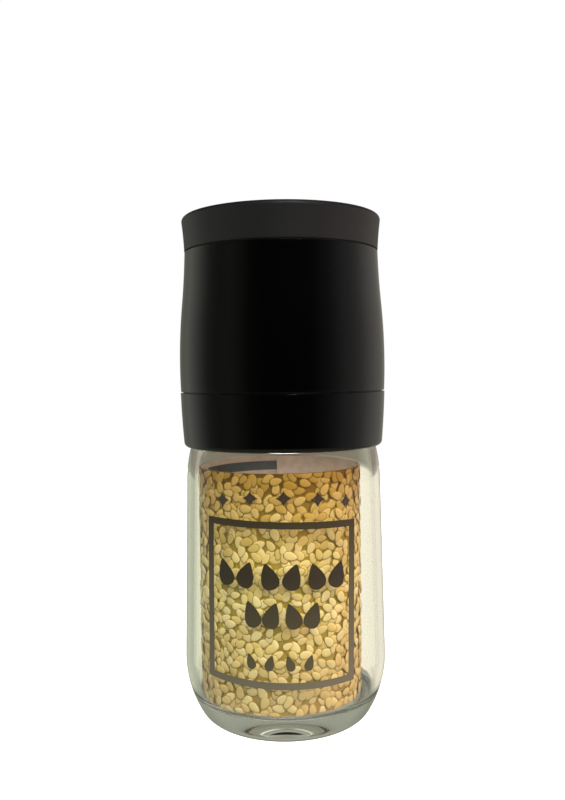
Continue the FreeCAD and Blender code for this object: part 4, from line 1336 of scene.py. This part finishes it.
@dataclass
class Cap:
    """The flared cap with its softly rounded rim and slightly sunken top."""

    barrel: Barrel
    height: float = 9.45
    foot_step: float = 0.05
    flare: float = 0.67
    flare_arc: float = 95.0
    widest_height: float = 8.3
    top_inset: float = 1.3
    dish: float = 0.35
    wall: float = 1.7
    roof: float = 1.8
    lip_width: float = 1.6
    lip_inset: float = 0.5
    edge: float = 0.2

    def outline(self) -> Profile:
        """The cap's closed outline from the deck that it stands on."""
        seam = self.barrel.seam
        foot = self.barrel.waist + self.foot_step
        widest = foot + self.flare
        top = seam + self.height
        level = seam + self.widest_height
        rim_arc = (self.top_inset ** 2 + (top - level) ** 2) / (2 * self.top_inset)
        dish_radius = widest - self.top_inset * 2
        dish_arc = (dish_radius ** 2 + self.dish ** 2) / (2 * self.dish)
        lip = foot - self.lip_inset
        roof = top - self.roof
        body = Profile(lip - self.lip_width, 0.0)
        body.lines((lip, 0.0), (lip, seam), (foot - self.edge, seam))
        body.arc(foot, seam + self.edge, self.edge, pieces=4)
        body.arc(widest, level, self.flare_arc, Side.IN, pieces=12)
        body.arc(widest - self.top_inset, top, rim_arc, pieces=10)
        body.line(dish_radius, top)
        body.arc(0.0, top - self.dish, dish_arc, Side.IN, pieces=10)
        body.lines((0.0, roof), (widest - self.wall, roof), (foot - self.wall, seam + self.roof),
                   (lip - self.lip_width, seam + self.roof / 2))
        return body

    def build(self, finish: Material) -> None:
        """Turn the cap and dress it."""
        piece = lathe("cap_cover", self.outline(), self.barrel.top)
        settle(dress(piece, finish), Part.CAP, "black_abs_matt", "cap_shell")


@dataclass
class Mechanism:
    """The pieces inside that keep their CAD shape, each with the finish of its real material."""

    finishes: tuple[tuple[Finish, tuple[str, ...]], ...] = (
        (MouldedPlastic("moulded_silicone", "#d9d8d0", 0.55, 0.5), ("jar_gasket", "cap_seal")),
        (MouldedPlastic("natural_acetal", "#e6e4da", 0.35, 0.5), ("burr_hub",)),
        (MouldedPlastic("black_acetal", "#0a0a0a", 0.4, 0.5), ("slip_ring",)),
        (Metal("drawn_spring_steel", "#c3c2bd", 0.28), ("sleeve_clip", "shaft_clip", "burr_spring")),
        (MouldedPlastic("glass_filled_nylon", "#6d6d6a", 0.6, 0.3, 0.05),
         ("shaft_bridge", "head_core", "burr_ring")),
        (Metal("zinc_plated_steel", "#cfd2d4", 0.3), ("bridge_screws", "burr_screws")),
        (Metal("turned_stainless_steel", "#c8c6c1", 0.25), ("drive_shaft", "spring_seat", "thrust_washer")),
        (Ceramic(), ("outer_burr", "inner_burr")),
        (Metal("turned_brass", "#c9a557", 0.3), ("dial_insert",)),
        (MouldedPlastic("satin_black_abs", "#1b1b1c", 0.45, 0.3, 0.03), ("spout", "adjusting_dial")),
        (MouldedPlastic("milky_polypropylene", "#cfcfca", 0.45, 0.6), ("cap_liner",)),
    )

    def build(self) -> None:
        """Dress each inner node."""
        for finish, nodes in self.finishes:
            material = finish.build()
            for node in nodes:
                dress(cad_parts[node], material)
                log.info("%s is %s", node, material.name)


@dataclass(frozen=True)
class Room:
    """Surroundings that change round the object in one band of heights, and are plainer elsewhere."""

    # Colours by degrees round the object from the camera, right positive
    around: tuple[tuple[float, str], ...]
    # How much of them shows by height, from straight down (0) to straight up (1)
    band: tuple[tuple[float, str], ...]
    # What shows elsewhere, by the same height
    rest: tuple[tuple[float, str], ...]

    def build(self, tree: Tree, turn: Socket, height: Socket) -> Socket:
        """The room's colour in a direction.

        Args:
            tree: The world's node tree.
            turn: The direction round the object, 0.5 towards the camera.
            height: The direction's height, 0 straight down and 1 straight up.

        Returns:
            The colour socket.
        """
        walls = ramp(tree, turn, [(0.5 + degrees / 360.0, colour) for degrees, colour in self.around])
        return mix_colours(tree, ramp(tree, height, self.band), ramp(tree, height, self.rest), walls)


@dataclass
class Studio:
    """A plain pale floor, soft light, and the camera at the photograph's viewing angle."""

    distance: float = 230.3
    eye_height: float = 97.4
    focal: float = 36.44
    sensor: float = 36.0
    pitch: float = 2.03
    roll: float = -0.7
    sideways: float = -0.06
    floor_radius: float = 600.0
    floor_steps: int = 96
    floor_colour: str = "#d0d0d0"
    floor_roughness: float = 0.9
    # Distances from the jar in metres, and the floor's glow at them: dimmer near the jar, a painted shadow
    painted_shadow_reach: Point = (0.03, 0.12)
    painted_shadow_glow: Point = (0.75, 1.1)
    brightness: float = 1.5
    view_range: Point = (0.01, 20.0)
    aim: Spot = (0.0, 0.0, 45.0)
    # What black plastic and the skin of the glass mirror
    mirrored_room: Room = Room(
        around=(
            (-180.0, "#d0d0be"), (-165.0, "#6c6e62"), (-142.0, "#7c7e74"), (-130.0, "#a0a396"),
            (-116.0, "#9c9f97"), (-104.0, "#868883"), (-92.0, "#5a5b58"), (-76.0, "#454640"),
            (-61.0, "#51524a"), (-48.0, "#40413a"), (-34.0, "#191917"), (-20.0, "#020202"),
            (0.0, "#000000"), (32.0, "#060606"), (57.0, "#444443"), (73.0, "#6b6b6a"),
            (84.0, "#747473"), (97.0, "#888683"), (110.0, "#9f9c96"), (125.0, "#a09c94"),
            (142.0, "#8f8b83"), (165.0, "#8b877e"), (180.0, "#d0d0be"),
        ),
        band=((0.27, "#000000"), (0.3, "#ffffff"), (0.66, "#ffffff"), (0.72, "#000000")),
        rest=((0.45, "#6d6f62"), (0.55, "#141412")),
    )
    # What shows through the glass
    glass_room: Room = Room(
        around=(
            (-180.0, "#7d7568"), (-177.5, "#8b8474"), (-174.0, "#cfcfbb"), (-170.0, "#d4d6b8"),
            (-160.0, "#c4c7ab"), (-145.0, "#9b9e8a"), (-120.0, "#83857a"), (100.0, "#83857a"),
            (125.0, "#aca697"), (145.0, "#d8d0be"), (160.0, "#e9e1ce"), (172.0, "#ece4d0"),
            (176.0, "#c9c2b0"), (178.0, "#8b8474"), (180.0, "#7d7568"),
        ),
        band=((0.24, "#000000"), (0.28, "#ffffff"), (0.441, "#ffffff"), (0.447, "#000000")),
        rest=((0.1, "#87897c"), (0.43, "#87897c"), (0.444, "#6e675a"), (0.5, "#6e675a"), (0.56, "#87897c")),
    )

    def floor(self) -> None:
        """A wide pale floor under the foot that glows, dimmer near the jar as a painted shadow over the faint
        real one where the jar stands on it.

        Glass and gloss see the surroundings through it, as they would on a bench that fades away.
        """
        radius = self.floor_radius * MM
        rim = [(radius * math.cos(math.tau * n / self.floor_steps),
                radius * math.sin(math.tau * n / self.floor_steps), 0.0) for n in range(self.floor_steps)]
        floor = new_object("floor", rim, [tuple(range(self.floor_steps))], None)
        material, tree, shader = new_material("pale_floor")
        place = add_node(tree, "ShaderNodeTexCoord").outputs["Object"]
        away = add_node(tree, "ShaderNodeVectorMath", {0: place}, operation="LENGTH").outputs["Value"]
        # Painted shadow: the floor's glow falls off near the jar
        feed(tree, shader, {
            "Base Color": linear(self.floor_colour), "Roughness": self.floor_roughness,
            "Emission Color": linear("#ffffff"),
            "Emission Strength": spread(tree, away, self.painted_shadow_reach, self.painted_shadow_glow)})
        dress(floor, material)
        floor.visible_glossy = False
        floor.visible_transmission = False
        floor.visible_diffuse = False

    def world(self) -> None:
        """Surroundings that are white to the camera and a dim room to the object."""
        world = bpy.data.worlds.new("studio")
        bpy.context.scene.world = world
        world.use_nodes = True
        tree = world.node_tree
        tree.nodes.clear()
        way = add_node(tree, "ShaderNodeTexCoord").outputs["Generated"]
        split = add_node(tree, "ShaderNodeSeparateXYZ", {0: way}).outputs
        front = add_node(tree, "ShaderNodeMath", {0: split["Y"], 1: -1.0}, operation="MULTIPLY")
        turn = add_node(tree, "ShaderNodeMath", {0: split["X"], 1: front.outputs[0]}, operation="ARCTAN2")
        share = spread(tree, turn.outputs[0], (-math.pi, math.pi))
        height = spread(tree, split["Z"], (-1.0, 1.0))
        mirrored, through = (room.build(tree, share, height)
                             for room in (self.mirrored_room, self.glass_room))
        ray = add_node(tree, "ShaderNodeLightPath")
        seen_by_object = mix_colours(tree, ray.outputs["Is Transmission Ray"], mirrored, through)
        dim = add_node(tree, "ShaderNodeBackground", {
            "Color": seen_by_object, "Strength": self.brightness})
        white = add_node(tree, "ShaderNodeBackground", {"Color": linear("#ffffff")})
        both = add_node(tree, "ShaderNodeMixShader", {
            0: ray.outputs["Is Camera Ray"], 1: dim.outputs[0], 2: white.outputs[0]})
        add_node(tree, "ShaderNodeOutputWorld", {"Surface": both.outputs[0]})

    def glow(self, place: Spot, radius: float, power: float) -> None:
        """A faint round light inside the jar, for what thin card lets through.

        Args:
            place: Where it is, in millimetres.
            radius: Its radius.
            power: Its power in watts.
        """
        light = bpy.data.lights.new("card_glow", "POINT")
        light.shadow_soft_size = radius * MM
        light.energy = power
        add_object("card_glow", light).location = Vector(place) * MM

    def lamp(self, name: str, place: Spot, size: float, power: float, colour: str = "#ffffff",
             mirrored: bool = False) -> None:
        """One square soft light that faces the jar.

        Args:
            name: Name of the lamp.
            place: Where it hangs, in millimetres.
            size: Length of its side.
            power: Its power in watts.
            colour: Its colour.
            mirrored: Whether gloss mirrors it, or it only lights.
        """
        light = bpy.data.lights.new(name, "AREA")
        light.shape = "SQUARE"
        light.size = size * MM
        light.energy = power
        light.color = linear(colour)[:3]
        lamp = add_object(name, light)
        lamp.location = Vector(place) * MM
        lamp.rotation_mode = "QUATERNION"
        lamp.rotation_quaternion = (Vector(self.aim) - Vector(place)).to_track_quat("-Z", "Y")
        lamp.visible_glossy = mirrored
        lamp.visible_transmission = mirrored

    def camera(self) -> None:
        """The camera, fitted to the object's outline in the photograph."""
        data = bpy.data.cameras.new("camera")
        data.lens = self.focal
        data.sensor_width = self.sensor
        data.clip_start, data.clip_end = self.view_range
        camera = add_object("camera", data)
        camera.location = Vector((self.sideways, -self.distance, self.eye_height)) * MM
        nod = Quaternion((1.0, 0.0, 0.0), math.radians(90.0 - self.pitch))
        lean = Quaternion((0.0, 0.0, 1.0), math.radians(self.roll))
        camera.rotation_mode = "QUATERNION"
        camera.rotation_quaternion = nod @ lean
        bpy.context.scene.camera = camera

    def build(self) -> None:
        """Set the stage."""
        bpy.context.scene.view_settings.view_transform = "Standard"
        self.floor()
        self.world()
        self.lamp("front_softbox", (120.0, -600.0, 420.0), 500.0, 12.0)
        self.lamp("right_softbox", (450.0, -170.0, 200.0), 300.0, 5.0, "#ffdcd6")
        self.lamp("left_softbox", (-450.0, -170.0, 200.0), 300.0, 2.5)
        self.lamp("glint", (120.0, -430.0, 640.0), 50.0, 0.8, mirrored=True)
        self.glow((0.0, 0.0, 55.6), 6.0, 0.02)
        self.camera()


def main() -> None:
    """Build the mill piece by piece, then set the stage."""
    logging.basicConfig(level=logging.INFO, format="%(message)s")
    grip = MouldedPlastic("semi_gloss_black_abs", "#010101", 0.18, 0.5, 0.004).build()
    cover = MouldedPlastic("matt_black_abs", "#0f0f0f", 0.45, 0.3, 0.02).build()
    jar = Jar()
    collar = Collar(jar)
    barrel = Barrel(collar)
    jar.build()
    CardRoll(jar).build()
    FrontPrint(jar).build()
    collar.build(grip)
    barrel.build(grip)
    Cap(barrel).build(cover)
    Mechanism().build()
    Studio().build()


if __name__ == "__main__":
    main()
